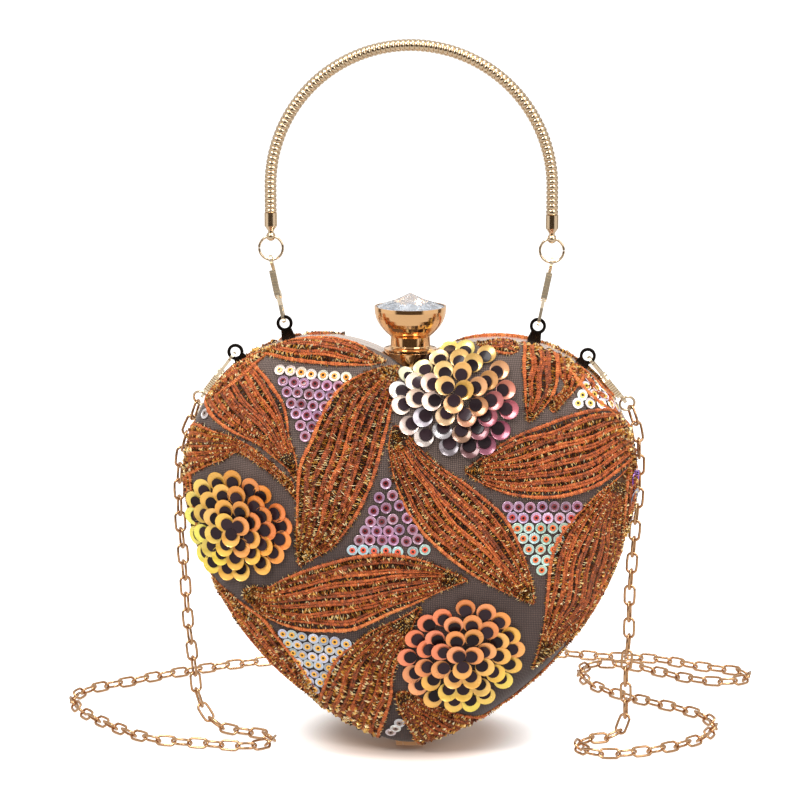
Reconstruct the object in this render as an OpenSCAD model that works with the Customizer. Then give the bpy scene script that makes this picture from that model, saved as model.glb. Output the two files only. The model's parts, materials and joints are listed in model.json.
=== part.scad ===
// Heart-shaped hard evening bag with an arched metal handle and a long link chain strap.
// Two domed half shells in metal frames are hinged at the tip and latched by a jewelled knob.
// The bag stands on its hinge, its front faces -Y, and the two halves part at y = 0.

/* [Heart outline] */
// Width across both lobes
heart_w = 178; // [166:1:190]
// Radius of each lobe
lobe_r = 54.5; // [51:0.5:58]
// Radius of the long side curve
flank_r = 129; // [118:1:142]
// Angle below level where a lobe runs into the side curve, in degrees
flank_turn = 10; // [6:1:14]
// Radius of the rounded tip
tip_r = 30; // [26:1:40]

/* [Halves] */
// Depth of each metal frame
frame_d = 6; // [5:0.5:8]
// Thickness of the frame's outer band
frame_t = 1.5; // [1.2:0.1:2]
// Width of the ledge inside each frame
ledge_w = 2.7; // [2.4:0.1:3.2]
// Thickness of the ledge
ledge_t = 1.2; // [0.8:0.1:1.6]
// Gap between the closed frames
part_gap = 0.2; // [0.1:0.05:0.4]
// Height of each padded dome above its frame
dome_h = 24; // [18:1:30]
// Thickness of the embroidered cover
cover_t = 1; // [0.6:0.1:1.6]
// Step from the frame's outside to the cover
cover_step = 0.4; // [0.2:0.1:0.8]
// Thickness of the moulded half shell
shell_t = 1.2; // [0.8:0.1:1.8]
// Thickness of the lining
lining_t = 0.6; // [0.4:0.1:0.9]
// Gap between cover, shell and lining
layer_gap = 0.2; // [0.1:0.05:0.3]

/* [Hinge] */
// Length of the hinge
hinge_w = 11; // [9:0.5:11.5]
// Radius of the knuckles
knuckle_r = 2; // [1.7:0.1:2.3]
// Radius of the hinge pin
pin_r = 0.8; // [0.6:0.05:1]
// Radial play round the pin
pin_play = 0.05; // [0.02:0.01:0.1]
// Gap between neighbouring knuckles
knuckle_gap = 0.2; // [0.1:0.05:0.3]
// Thickness of a hinge leaf
leaf_t = 1; // [0.8:0.1:1.2]
// Reach of a hinge leaf across its frame
leaf_d = 4.2; // [3:0.1:4.8]

/* [Clasp] */
// Radius of the collar at its top
base_r = 10.3; // [9.5:0.1:11.5]
// Radius of the collar's foot
base_foot_r = 8.8; // [7.5:0.1:9.4]
// Rise of the collar over the frames beside it
base_h = 0.4; // [0.2:0.1:2]
// Radius of the knob's neck
neck_r = 7.8; // [6:0.1:9]
// Height of the neck above the collar
neck_h = 5.6; // [5:0.1:8]
// Radius of the knob's bowl at its rim
bowl_r = 14.1; // [12:0.1:16]
// Height of the bowl
bowl_h = 11.8; // [9:0.1:14]
// Wall of the bowl
bowl_t = 0.8; // [0.6:0.1:1.2]
// Height of the cut stone above the rim
stone_h = 5.3; // [3:0.1:8]
// Radius of the knob's stem
stem_r = 1.2; // [0.9:0.05:1.2]

/* [Handle] */
// Radius of the handle's arch, to the middle of its tube
handle_r = 55; // [50:1:60]
// Straight run of the tube below the arch
handle_side = 10.6; // [6:0.1:20]
// Outer radius of the ribbed tube
tube_r = 2.4; // [2.2:0.1:3]
// Radius of the tube's bore
tube_bore_r = 1.5; // [1:0.1:1.7]
// Depth of the grooves between the ribs
rib_depth = 0.35; // [0.2:0.05:0.45]
// Distance from rib to rib
rib_pitch = 1.9; // [1.4:0.1:2.4]
// Radius of the end caps
cap_r = 2.5; // [2.3:0.05:3.2]
// Length of the end caps
cap_l = 5.2; // [4:0.1:9]
// Outer radius of the ball eye under a cap
eye_r = 1.9; // [1.7:0.05:2.2]

/* [Rings and lugs] */
// Mean radius of the handle rings
ring_r = 4.65; // [4:0.05:6]
// Radius of the ring wire
ring_wire = 0.5; // [0.4:0.05:0.6]
// Outer radius of a lug's ring
lug_r = 3.2; // [2.9:0.1:3.5]
// Radius of a lug's hole
lug_hole_r = 2; // [1.9:0.05:2.2]
// Thickness of a lug
lug_t = 1.2; // [1:0.1:1.3]
// Height of a handle lug's hole above the frame
lug_up = 6.3; // [5.5:0.1:8]
// Height of a strap lug's hole above the frame
strap_lug_up = 4.2; // [4:0.1:6]

/* [Snap hooks] */
// Distance from the claw's centre to the eye's centre
hook_l = 23; // [21:0.5:28]
// Thickness of a hook's plate
hook_t = 1.2; // [1:0.1:1.4]
// Outer radius of the claw
claw_r = 2.4; // [2.2:0.1:2.6]
// Inner radius of the claw
claw_hole_r = 1.15; // [1.1:0.05:1.25]
// Width of the thumb lever
lever_w = 2.4; // [2.2:0.1:3]

/* [Strap chain] */
// Outer length of a link
link_l = 9.2; // [8.6:0.1:9.8]
// Outer width of a link
link_w = 5.2; // [4.8:0.1:5.4]
// Radius of the link wire
link_wire = 0.55; // [0.45:0.05:0.6]
// Play from one link to the next
link_play = 0.3; // [0.2:0.05:0.6]
// Mean radius of the strap's end rings
strap_ring_r = 3; // [2.8:0.1:3.6]

/* [Hidden] */

// Facet counts: true curves, and the steps of the lofted domes and the ribbed tube
arc_fn = 96;
small_fn = 32;
lobe_steps = 15;
flank_steps = 12;
tip_steps = 4;
dome_rings = 8;
lining_rings = 8;
tube_sides = 8;
bore_step_ribs = 4;
stone_sides = 16;

// One overrun for every cut
overrun = 1;
// Gap left where two faces of one body seat on each other
seat_gap = 0.05;
// Gap left between the collar and the half that swings away
base_gap = 0.3;

// Hinge heights: the knuckles touch the ground, and the frames sit on the leaves
leaf_lift = 0.8;
seat_cut = 0.6;
hinge_z = knuckle_r;
leaf_z = hinge_z + leaf_lift;
seat_z = leaf_z + leaf_t;
tip_z = seat_z - seat_cut;
middle_knuckle_share = 0.5;

// Centres of the outline's arcs, each arc running smoothly into the next
lobe_x = heart_w / 2 - lobe_r;
flank_x = lobe_x - (flank_r - lobe_r) * cos(flank_turn);
tip_cz = tip_z + tip_r;
flank_z = tip_cz + sqrt(pow(flank_r - tip_r, 2) - pow(flank_x, 2));
lobe_z = flank_z - (flank_r - lobe_r) * sin(flank_turn);
tip_turn = atan2(flank_z - tip_cz, -flank_x);
notch_z = lobe_z + sqrt(pow(lobe_r, 2) - pow(lobe_x, 2));
shoulder_z = lobe_z + sqrt(pow(lobe_r, 2) - pow(lobe_x - base_r, 2));

// Depths of the back half; the front half mirrors them
frame_y0 = part_gap / 2;
frame_y1 = frame_y0 + frame_d;
ledge_y = frame_y0 + ledge_t;
ledge_in = frame_t + ledge_w;
frame_mid = (frame_y0 + frame_y1) / 2;

// The domes rise from the heart outline to an ellipse round a pole, as a full pillow
pole_share = 0.84;
ellipse_x_share = 0.94;
ellipse_z_share = 0.58;
dome_power = 2.3;
blend_power = 2.2;
pole_z = lobe_z * pole_share;
ellipse_x = heart_w / 2 * ellipse_x_share;
ellipse_z = lobe_z * ellipse_z_share;

// Clasp heights, all counted from the frames beside the collar
base_lift = 0.6;
base_edge = 0.5;
knob_gap = 0.3;
flange_h = 0.6;
stem_play = 0.05;
flange_r = base_r + stem_play;
stem_hole_gap = 0.3;
base_top = shoulder_z + base_h;
flange_z = base_top + knob_gap;
neck_z0 = flange_z + flange_h;
bowl_z = base_top + neck_h;
rim_z = bowl_z + bowl_h;
bowl_fall = 2.4;
bowl_steps = 8;
rivet_r = 0.8;
rivet_x = 5.2;
rivet_skin = 0.8;
ledge_top = notch_z - ledge_in * lobe_r / (notch_z - lobe_z);
keeper_clear = 0.4;
keeper_t = 0.8;
keeper_r0 = stem_r + keeper_clear;
keeper_r1 = keeper_r0 + keeper_t;
keeper_drop = 2;
keeper_half_turn = 70;
tongue_gap = 0.3;
tongue_t = 1.4;
tongue_half_w = 1.2;
tooth_r0 = keeper_r1 + tongue_gap;
tooth_t = 1.2;
tooth_r1 = tooth_r0 + tooth_t;
tooth_half_turn = 24;
tooth_h = 1.5;
keeper_z = ledge_top - keeper_drop;
tongue_top = keeper_z - tongue_gap;
tongue_z = tongue_top - tongue_t;
screw_head_r = 1.7;
screw_head_h = 0.8;
screw_shank_r = 0.6;
screw_shank_l = 4;

// Cut stone: a girdle in the bowl, main facets up to a point and a pavilion below
stone_gap = 0.15;
stone_r = bowl_r - bowl_t - stone_gap;
stone_step_share = 0.45;
stone_step_h_share = 0.45;
stone_girdle = 0.8;
pavilion_h = 6;
pavilion_share = 0.25;
bowl_floor = 1.2;

// Lugs stand square to the lobe's rim
lug_turn = 75.4;
strap_lug_turn = 53.5;
lug_foot_w = 5.2;
lug_neck_w = 3.2;
lug_mean_r = (lug_r + lug_hole_r) / 2;
lug_x = lobe_x + (lobe_r + lug_up) * cos(lug_turn);
lug_z = lobe_z + (lobe_r + lug_up) * sin(lug_turn);
strap_lug_x = lobe_x + (lobe_r + strap_lug_up) * cos(strap_lug_turn);
strap_lug_z = lobe_z + (lobe_r + strap_lug_up) * sin(strap_lug_turn);

// The handle hooks lean outwards from the lugs to the rings under the handle's ends
hook_lean = asin((handle_r - lug_x) / (lug_mean_r + hook_l));
hook_x = lug_x + lug_mean_r * sin(hook_lean);
hook_z = lug_z + lug_mean_r * cos(hook_lean);
ring_low_z = hook_z + hook_l * cos(hook_lean);
ring_z = ring_low_z + ring_r;
eye_z = ring_z + ring_r;
eye_to_cap = 4.1;
cap_z = eye_z + eye_to_cap;
arch_z = cap_z + cap_l + seat_gap + handle_side;
eye_play = 0.4;
eye_hole_r = ring_wire + eye_play;
cap_neck_r = 1.1;
spigot_r = tube_bore_r * cos(180 / tube_sides) - seat_gap;
spigot_l = 4;
ring_split = 0.25;

// The strap hooks hang outwards and lean back over the rear half
strap_out = 37;
strap_back = 26;
strap_dir = [sin(strap_out) * cos(strap_back), sin(strap_back), -cos(strap_out) * cos(strap_back)];
strap_pivot = [
    strap_lug_x + lug_mean_r * sin(strap_out),
    frame_mid,
    strap_lug_z - lug_mean_r * cos(strap_out)
];
strap_eye = strap_pivot + hook_l * strap_dir;
strap_end = strap_eye + 2 * strap_ring_r * strap_dir;

// Shape of a snap hook, in its own frame: claw at the origin, eye up at hook_l, lever at the front
mouth_from = 112;
mouth_to = 186;
spine_w = 1.2;
spine_y = 1.2;
body_front = 1.7;
body_low = 5;
body_high = 19.5;
eye_plate_r = 1.95;
gate_y = 0.7;
gate_z = 9;
gate_pin_r = 0.55;
gate_boss_r = 1.6;
cheek_gap = 0.05;
pad_y0 = 3.6;
pad_y1 = 2.6;
pad_z0 = 9.2;
pad_z1 = 19.2;
pad_ribs = 8;
pad_rib_h = 0.35;
pad_rib_w = 0.55;
nose_z = 0.05;
nose_y = 1.45;
nose_t = 1.1;

// Strap chain: nodes along the route, each link reaching from one node to the next
link_pitch = link_l - 4 * link_wire - link_play;
link_mean_r = link_w / 2 - link_wire;
link_side = link_l - link_w;
route_steps = 6;
open_roll = 45;
roll_links = 4;
end_seat = ring_wire + link_wire + link_play / 2;
node_reach = link_l / 2 - link_wire - link_pitch / 2;

// The route of the strap from the left end ring over the ground to the right end ring
route_middle = [
    [-89, 15, 128], [-92, 14, 121], [-93, 14, 114], [-94, 14, 107], [-94, 14, 99], [-94, 14, 90],
    [-93, 14, 76], [-92, 14, 60], [-91, 14, 44], [-89, 14, 28], [-88, 14, 17], [-85, 14, 8.5],
    [-81, 13, 4.2], [-76, 10, 2.4], [-69, 7, 2.3],
    [-60, 4, 2.3], [-55, -3, 2.3], [-58, -11, 2.3], [-66, -14, 2.3], [-78, -12, 2.3], [-90, -10, 2.3],
    [-100, -8, 2.3], [-110, -2, 2.3], [-119, 7, 2.3], [-127, 16, 2.3], [-135, 26, 2.3], [-141, 36, 2.3],
    [-145, 48, 2.3], [-144, 60, 2.3], [-137, 70, 2.3], [-127, 78, 2.3], [-114, 90, 2.3], [-98, 102, 2.3],
    [-82, 112, 2.3], [-62, 121, 2.3], [-40, 129, 2.3], [-15, 136, 2.3], [15, 141, 2.3], [40, 143, 2.3],
    [58, 140, 2.3], [74, 136, 2.3], [90, 135, 2.3], [104, 131, 2.3], [114, 124, 2.3], [125, 119, 2.3],
    [135, 115, 2.3], [139, 106, 2.3], [132, 98, 2.3], [121, 98, 2.3], [111, 103, 2.3], [100, 112, 2.3],
    [88, 121, 2.3], [76, 124, 2.3], [68, 117, 2.3], [67, 103, 2.3], [72, 88, 2.3], [82, 75, 2.3],
    [95, 64, 2.3], [108, 54, 2.3], [118, 43, 2.3], [122, 29, 2.3], [118, 13, 2.3], [108, 1, 2.3],
    [94, -9, 2.3], [80, -14, 2.3], [70, -10, 2.3], [67, -2, 2.3], [72, 6, 2.3], [80, 10, 2.3],
    [84, 13, 4], [86, 14, 9.5], [86, 14, 18], [86, 14, 30], [87, 14, 44], [87, 14, 60],
    [88, 14, 76], [89, 14, 90], [90, 14, 102], [90, 14, 112], [90, 14, 121], [89, 15, 128]
];

// Colours of the finishes
gold = "#e9c08a";
pale_gold = "#f3ddc4";
gunmetal = "#3c3631";
fabric_grey = "#8d8078";

// One point of the right half of the outline: the lobe, the side curve, then the tip
function lobe_point(a, inset) = [lobe_x + (lobe_r - inset) * cos(a), lobe_z + (lobe_r - inset) * sin(a)];
function flank_point(a, inset) = [flank_x + (flank_r - inset) * cos(a), flank_z + (flank_r - inset) * sin(a)];
function tip_point(a, inset) = [(tip_r - inset) * cos(a), tip_cz + (tip_r - inset) * sin(a)];
function notch_turn(inset) = acos(-min(1, lobe_x / (lobe_r - inset)));
function right_half(inset) = [
    for (i = [0 : lobe_steps])
        lobe_point(notch_turn(inset) + (-flank_turn - notch_turn(inset)) * i / lobe_steps, inset),
    for (i = [1 : flank_steps])
        flank_point(-flank_turn + (flank_turn - tip_turn) * i / flank_steps, inset),
    for (i = [1 : tip_steps])
        tip_point(-tip_turn + (tip_turn - 90) * i / tip_steps, inset)
];
// The whole outline, from the notch round by the right side and back
function outline(inset) = let (h = right_half(inset), n = len(h)) [
    each h,
    for (i = [n - 2 : -1 : 1]) [-h[i][0], h[i][1]]
];

// One ring of a dome: the outline drawn in towards the pole and eased into an ellipse
function dome_ring(inset, reach) = [
    for (p = outline(inset))
        let (v = p - [0, pole_z],
             a = atan2(v[1], v[0]),
             e = [(ellipse_x - inset) * cos(a), (ellipse_z - inset) * sin(a)],
             m = 1 - pow(reach, blend_power),
             q = [0, pole_z] + reach * (v * (1 - m) + e * m))
            q
];
// The rings of one dome surface, from the rim at y0 over the frame's edge up to the last ring
function dome_rings_3d(inset, y0, height, rings) = let (spring_y = max(y0, frame_y1)) [
    if (y0 < frame_y1) [for (p = outline(inset)) [p[0], y0, p[1]]],
    for (k = [0 : rings - 1])
        let (a = 90 * k / rings,
             reach = pow(cos(a), 2 / dome_power),
             y = spring_y + (frame_y1 + height - spring_y) * pow(sin(a), 2 / dome_power))
            [for (p = dome_ring(inset, reach)) [p[0], y, p[1]]]
];
// Faces between two neighbouring rings of n points that start at indices a and b
function band_faces(a, b, n) = [
    for (i = [0 : n - 1]) each [
        [a + i, a + (i + 1) % n, b + (i + 1) % n],
        [a + i, b + (i + 1) % n, b + i]
    ]
];
function flipped(faces) = [for (f = faces) [f[2], f[1], f[0]]];

// A domed skin between an outer and an inner surface, open at its rim
module dome_skin(inset, y0, height, thickness, rings) {
    outer = dome_rings_3d(inset, y0, height, rings);
    inner = dome_rings_3d(inset + thickness, y0, height - thickness, rings);
    n = len(outer[0]);
    count = len(outer);
    points = [
        for (r = outer) each r,
        [0, frame_y1 + height, pole_z],
        for (r = inner) each r,
        [0, frame_y1 + height - thickness, pole_z]
    ];
    step = n * count + 1;
    out_faces = [
        for (k = [0 : count - 2]) each band_faces(k * n, (k + 1) * n, n),
        for (i = [0 : n - 1]) [(count - 1) * n + i, (count - 1) * n + (i + 1) % n, n * count]
    ];
    in_faces = [for (f = out_faces) [f[2] + step, f[1] + step, f[0] + step]];
    polyhedron(points = points, faces = [each out_faces, each in_faces, each band_faces(step, 0, n)]);
}

// Right half of the heart: the side curve between its ends, with the whole lobe and tip discs laid over it
module half_heart(inset) {
    shoulder = [lobe_x, lobe_z] + (lobe_r + overrun) * [cos(flank_turn), -sin(flank_turn)];
    heel = [0, tip_cz] + (tip_r + overrun) * [cos(tip_turn), -sin(tip_turn)];
    split = [0, lobe_z + lobe_x * tan(flank_turn)];
    intersection() {
        translate([lobe_x, lobe_z]) circle(r = lobe_r - inset, $fn = arc_fn);
        translate([0, lobe_z - lobe_r]) square([heart_w, 2 * lobe_r]);
    }
    intersection() {
        translate([flank_x, flank_z]) circle(r = flank_r - inset, $fn = arc_fn);
        polygon([split, shoulder, [shoulder[0], heel[1]], heel, [0, tip_cz]]);
    }
    intersection() {
        translate([0, tip_cz]) circle(r = tip_r - inset, $fn = arc_fn);
        translate([0, tip_cz - tip_r]) square([tip_r, 2 * tip_r]);
    }
}
module heart(inset) {
    half_heart(inset);
    mirror([1, 0]) half_heart(inset);
}
// The heart as a slab between two depths
module heart_slab(inset, y0, y1) {
    translate([0, y1, 0]) rotate([90, 0, 0]) linear_extrude(height = y1 - y0) heart(inset);
}
// A rod along X at the hinge axis
module hinge_rod(r, x0, x1) {
    translate([x0, 0, hinge_z]) rotate([0, 90, 0]) cylinder(r = r, h = x1 - x0, $fn = small_fn);
}
// An upright rod on the clasp's axis
module clasp_rod(r, z0, z1) {
    translate([0, 0, z0]) cylinder(r = r, h = z1 - z0, $fn = small_fn);
}
// Puts a lug's flat shape up at the back frame's middle, on one side of the bag
module at_lug(side, turn) {
    mirror([side < 0 ? 1 : 0, 0, 0])
        translate([lobe_x, frame_mid + lug_t / 2, lobe_z])
            rotate([90, 0, 0])
                rotate([0, 0, turn - 90])
                    children();
}
// Slot through the frame's band for a lug's tenon
module lug_slot(side, turn) {
    at_lug(side, turn)
        translate([-lug_neck_w / 2 - seat_gap, lobe_r - frame_t - overrun, -seat_gap])
            cube([lug_neck_w + 2 * seat_gap, frame_t + 2 * overrun, lug_t + 2 * seat_gap]);
}
// Holes for the two rivets that hold the collar
module rivet_rods(r, z0, z1) {
    for (side = [-1, 1])
        translate([side * rivet_x, frame_mid, z0]) cylinder(r = r, h = z1 - z0, $fn = small_fn);
}

// One metal frame: an outer band with a ledge at the parting plane, seated flat over the hinge
module half_frame() {
    difference() {
        heart_slab(0, frame_y0, frame_y1);
        heart_slab(frame_t, ledge_y, frame_y1 + overrun);
        heart_slab(ledge_in, frame_y0 - overrun, ledge_y + overrun);
        translate([-hinge_w, frame_y0 - overrun, -overrun])
            cube([2 * hinge_w, frame_d + 2 * overrun, seat_z + overrun]);
        hinge_rod(knuckle_r + knuckle_gap, -hinge_w / 2 - knuckle_gap, hinge_w / 2 + knuckle_gap);
        clasp_rod(stem_r + stem_hole_gap, keeper_z, base_top);
    }
}

module back_frame() {
    color(pale_gold) difference() {
        half_frame();
        rivet_rods(rivet_r + seat_gap, keeper_z, base_top);
        for (side = [-1, 1]) {
            lug_slot(side, lug_turn);
            lug_slot(side, strap_lug_turn);
        }
    }
}
module front_frame() {
    color(pale_gold) mirror([0, 1, 0]) half_frame();
}

// Embroidered cover over the shell, its rim on the frame's edge
module half_cover() {
    color(fabric_grey)
        dome_skin(cover_step, frame_y1 + seat_gap, dome_h, cover_t, dome_rings + 1);
}
module back_cover() { half_cover(); }
module front_cover() { mirror([0, 1, 0]) half_cover(); }

// Moulded shell inside the band, its rim on the ledge
module half_shell() {
    color("#4a4038")
        dome_skin(frame_t + layer_gap / 2, ledge_y + seat_gap, dome_h - cover_t - layer_gap,
            shell_t, dome_rings);
}
module back_shell() { half_shell(); }
module front_shell() { mirror([0, 1, 0]) half_shell(); }

// Lining inside the shell
module half_lining() {
    color("#c9b8a6")
        dome_skin(frame_t + layer_gap / 2 + shell_t + layer_gap, ledge_y + seat_gap,
            dome_h - cover_t - shell_t - 2 * layer_gap, lining_t, lining_rings);
}
module back_lining() { half_lining(); }
module front_lining() { mirror([0, 1, 0]) half_lining(); }

// Hinge leaf under a frame, with its knuckles; the middle knuckle is the front one
middle_x = hinge_w * middle_knuckle_share / 2;
module leaf_plate() {
    translate([-hinge_w / 2, frame_y0 + knuckle_gap, leaf_z])
        cube([hinge_w, leaf_d, leaf_t - seat_gap]);
}
module hinge_back() {
    color(gold) difference() {
        union() {
            difference() {
                leaf_plate();
                hinge_rod(knuckle_r + knuckle_gap, -middle_x - knuckle_gap, middle_x + knuckle_gap);
            }
            hinge_rod(knuckle_r, -hinge_w / 2, -middle_x - knuckle_gap / 2);
            hinge_rod(knuckle_r, middle_x + knuckle_gap / 2, hinge_w / 2);
        }
        hinge_rod(pin_r + pin_play, -hinge_w, hinge_w);
    }
}
module hinge_front() {
    color(gold) difference() {
        union() {
            difference() {
                mirror([0, 1, 0]) leaf_plate();
                hinge_rod(knuckle_r + knuckle_gap, -hinge_w, -middle_x + knuckle_gap / 2);
                hinge_rod(knuckle_r + knuckle_gap, middle_x - knuckle_gap / 2, hinge_w);
            }
            hinge_rod(knuckle_r, -middle_x + knuckle_gap / 2, middle_x - knuckle_gap / 2);
        }
        hinge_rod(pin_r + pin_play, -hinge_w, hinge_w);
    }
}
module hinge_pin() {
    color(gold) hinge_rod(pin_r, -hinge_w / 2, hinge_w / 2);
}

// Turned collar in the notch, saddled on the frames and riveted to the back one
module clasp_base() {
    reach = base_r + overrun;
    color(gold) difference() {
        rotate_extrude($fn = arc_fn) polygon([
            [0, notch_z + base_lift],
            [base_foot_r, notch_z + base_lift],
            [base_r, base_top - base_edge],
            [base_r, base_top - base_edge / 2],
            [base_r - base_edge / 2, base_top],
            [0, base_top]
        ]);
        heart_slab(-seat_gap, 0, reach);
        heart_slab(-base_gap, -reach, 0);
        clasp_rod(stem_r + stem_play, notch_z, base_top + overrun);
        rivet_rods(rivet_r + seat_gap, notch_z, rivet_top);
    }
}
// The rivets run flush from the inside of the back frame's band up into the collar
rivet_low = lobe_z + sqrt(pow(lobe_r - frame_t, 2) - pow(lobe_x - rivet_x - rivet_r, 2));
rivet_top = base_top - rivet_skin;
module clasp_rivets() {
    color(gold) rivet_rods(rivet_r, rivet_low, rivet_top - seat_gap);
}
// A piece of upright tube round the clasp's axis, open to one side
module tube_piece(r0, r1, z0, z1, middle, half_turn) {
    translate([0, 0, z0])
        rotate([0, 0, middle - half_turn])
            rotate_extrude(angle = 2 * half_turn, $fn = arc_fn)
                translate([r0, 0]) square([r1 - r0, z1 - z0]);
}
// Curved keeper under the front frame's ledge, which the tongue hooks when it is turned
module clasp_keeper() {
    color(gold) intersection() {
        tube_piece(keeper_r0, keeper_r1, keeper_z, notch_z, -90, keeper_half_turn);
        heart_slab(ledge_in + seat_gap, -frame_y1, -frame_y0);
    }
}

// Radius of the knob's bowl at a share of the way down from its rim
function bowl_at(u) = bowl_r - (bowl_r - neck_r) * pow(u, bowl_fall);
module clasp_knob() {
    stone_floor = rim_z - pavilion_h - bowl_floor;
    color(gold) rotate_extrude($fn = arc_fn) polygon([
        [0, tongue_top],
        [stem_r, tongue_top],
        [stem_r, flange_z],
        [flange_r, flange_z],
        [flange_r, neck_z0],
        for (i = [0 : 4]) let (a = 90 * i / 4)
            [neck_r + (flange_r - neck_r) * (1 - sin(a)), neck_z0 + (flange_r - neck_r) * (1 - cos(a)) / 2],
        [neck_r, bowl_z - bowl_t],
        for (i = [bowl_steps : -1 : 0]) let (u = i / bowl_steps)
            [bowl_at(u), rim_z - u * bowl_h],
        [bowl_r - bowl_t, rim_z],
        [bowl_r - bowl_t, rim_z - stone_girdle - stone_gap],
        [stone_r * pavilion_share + bowl_t, stone_floor],
        [0, stone_floor]
    ]);
}
// Cut stone: rings of points from the culet up to the apex, with turned steps between them
module clasp_stone() {
    n = stone_sides;
    function stone_ring(r, z, turn) = [
        for (i = [0 : n - 1]) [r * cos(360 * (i + turn) / n), r * sin(360 * (i + turn) / n), z]
    ];
    points = [
        [0, 0, rim_z - stone_girdle - pavilion_h + stone_gap],
        each stone_ring(stone_r * pavilion_share, rim_z - stone_girdle - pavilion_h + stone_gap, 0),
        each stone_ring(stone_r, rim_z - stone_girdle + stone_gap, 0),
        each stone_ring(stone_r, rim_z, 0),
        each stone_ring(stone_r * stone_step_share, rim_z + stone_h * stone_step_h_share, 0.5),
        [0, 0, rim_z + stone_h]
    ];
    color("#e8eef2") polyhedron(points = points, faces = [
        for (i = [0 : n - 1]) [0, 1 + i, 1 + (i + 1) % n],
        for (k = [0 : 2]) each flipped(band_faces(1 + k * n, 1 + (k + 1) * n, n)),
        for (i = [0 : n - 1]) [1 + 3 * n + (i + 1) % n, 1 + 3 * n + i, 1 + 4 * n]
    ]);
}
// Latch tongue under the stem, turned aside at rest
module clasp_tongue() {
    color(gold) difference() {
        union() {
            clasp_rod(stem_r + tongue_half_w / 2, tongue_z, tongue_top - seat_gap);
            intersection() {
                clasp_rod(tooth_r1, tongue_z, tongue_top - seat_gap);
                translate([0, -tongue_half_w, tongue_z]) cube([tooth_r1, 2 * tongue_half_w, tongue_t]);
            }
            tube_piece(tooth_r0, tooth_r1, tongue_z, keeper_z + tooth_h, 0, tooth_half_turn);
        }
        clasp_rod(screw_shank_r + seat_gap, tongue_z - overrun, tongue_top + overrun);
    }
}
module tongue_screw() {
    color(gold) {
        clasp_rod(screw_head_r, tongue_z - screw_head_h - seat_gap, tongue_z - seat_gap);
        clasp_rod(screw_shank_r, tongue_z - screw_head_h, tongue_top - seat_gap);
    }
}

// Lug: a ring on a tapered tab, with a tenon through the frame's band
module lug(side, turn, up) {
    color(gunmetal) at_lug(side, turn) linear_extrude(height = lug_t) difference() {
        union() {
            difference() {
                union() {
                    translate([0, lobe_r + up]) circle(r = lug_r, $fn = small_fn);
                    polygon([
                        [-lug_foot_w / 2, lobe_r - overrun], [lug_foot_w / 2, lobe_r - overrun],
                        [lug_foot_w / 2, lobe_r + frame_t / 2], [lug_neck_w / 2, lobe_r + up],
                        [-lug_neck_w / 2, lobe_r + up], [-lug_foot_w / 2, lobe_r + frame_t / 2]
                    ]);
                }
                circle(r = lobe_r + seat_gap, $fn = arc_fn);
            }
            translate([-lug_neck_w / 2, lobe_r - frame_t]) square([lug_neck_w, 2 * frame_t]);
        }
        translate([0, lobe_r + up]) circle(r = lug_hole_r, $fn = small_fn);
    }
}
module lug_handle_left() { lug(-1, lug_turn, lug_up); }
module lug_handle_right() { lug(1, lug_turn, lug_up); }
module lug_strap_left() { lug(-1, strap_lug_turn, strap_lug_up); }
module lug_strap_right() { lug(1, strap_lug_turn, strap_lug_up); }

// Puts children made in a hook's own frame where a hook goes on the bag
module at_hook(side) {
    translate([side * hook_x, frame_mid, hook_z]) rotate([0, side * hook_lean, 0]) children();
}
module at_strap_hook(side) {
    translate([side * strap_pivot[0], strap_pivot[1], strap_pivot[2]])
        rotate([0, side * (180 - strap_out), 0])
            rotate([-strap_back, 0, 0])
                children();
}
// A flat shape in a hook's own frame: drawn as depth and height, centred on the plate
module hook_plate(thickness) {
    rotate([90, 0, 90])
        translate([0, 0, -thickness / 2])
            linear_extrude(height = thickness) children();
}
// A rod across a hook, through the lever's pivot
module gate_rod(r, width) {
    translate([-width / 2, -gate_y, gate_z]) rotate([0, 90, 0]) cylinder(r = r, h = width, $fn = small_fn);
}
// Hook body: claw, spine and eye in one plate
module hook_body() {
    far = claw_r + overrun;
    color(gold) difference() {
        hook_plate(hook_t) difference() {
            union() {
                difference() {
                    circle(r = claw_r, $fn = small_fn);
                    polygon([
                        [0, 0],
                        far * 2 * [cos(mouth_from), sin(mouth_from)],
                        far * 2 * [cos((mouth_from + mouth_to) / 2), sin((mouth_from + mouth_to) / 2)],
                        far * 2 * [cos(mouth_to), sin(mouth_to)]
                    ]);
                }
                polygon([
                    [claw_hole_r, 0], [claw_r, 0],
                    [spine_y + spine_w, body_low], [spine_y + spine_w, body_high],
                    [eye_plate_r / 2, hook_l], [-eye_plate_r / 2, hook_l - eye_plate_r / 2],
                    [spine_y, body_high - spine_w], [-body_front, gate_z + gate_boss_r],
                    [-body_front, gate_z - gate_boss_r], [0, body_low], [claw_hole_r, claw_r]
                ]);
                translate([0, hook_l]) circle(r = eye_plate_r, $fn = small_fn);
            }
            circle(r = claw_hole_r, $fn = small_fn);
            translate([0, hook_l]) circle(r = eye_hole_r, $fn = small_fn);
        }
        gate_rod(gate_pin_r + pin_play, lever_w);
    }
}
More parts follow.
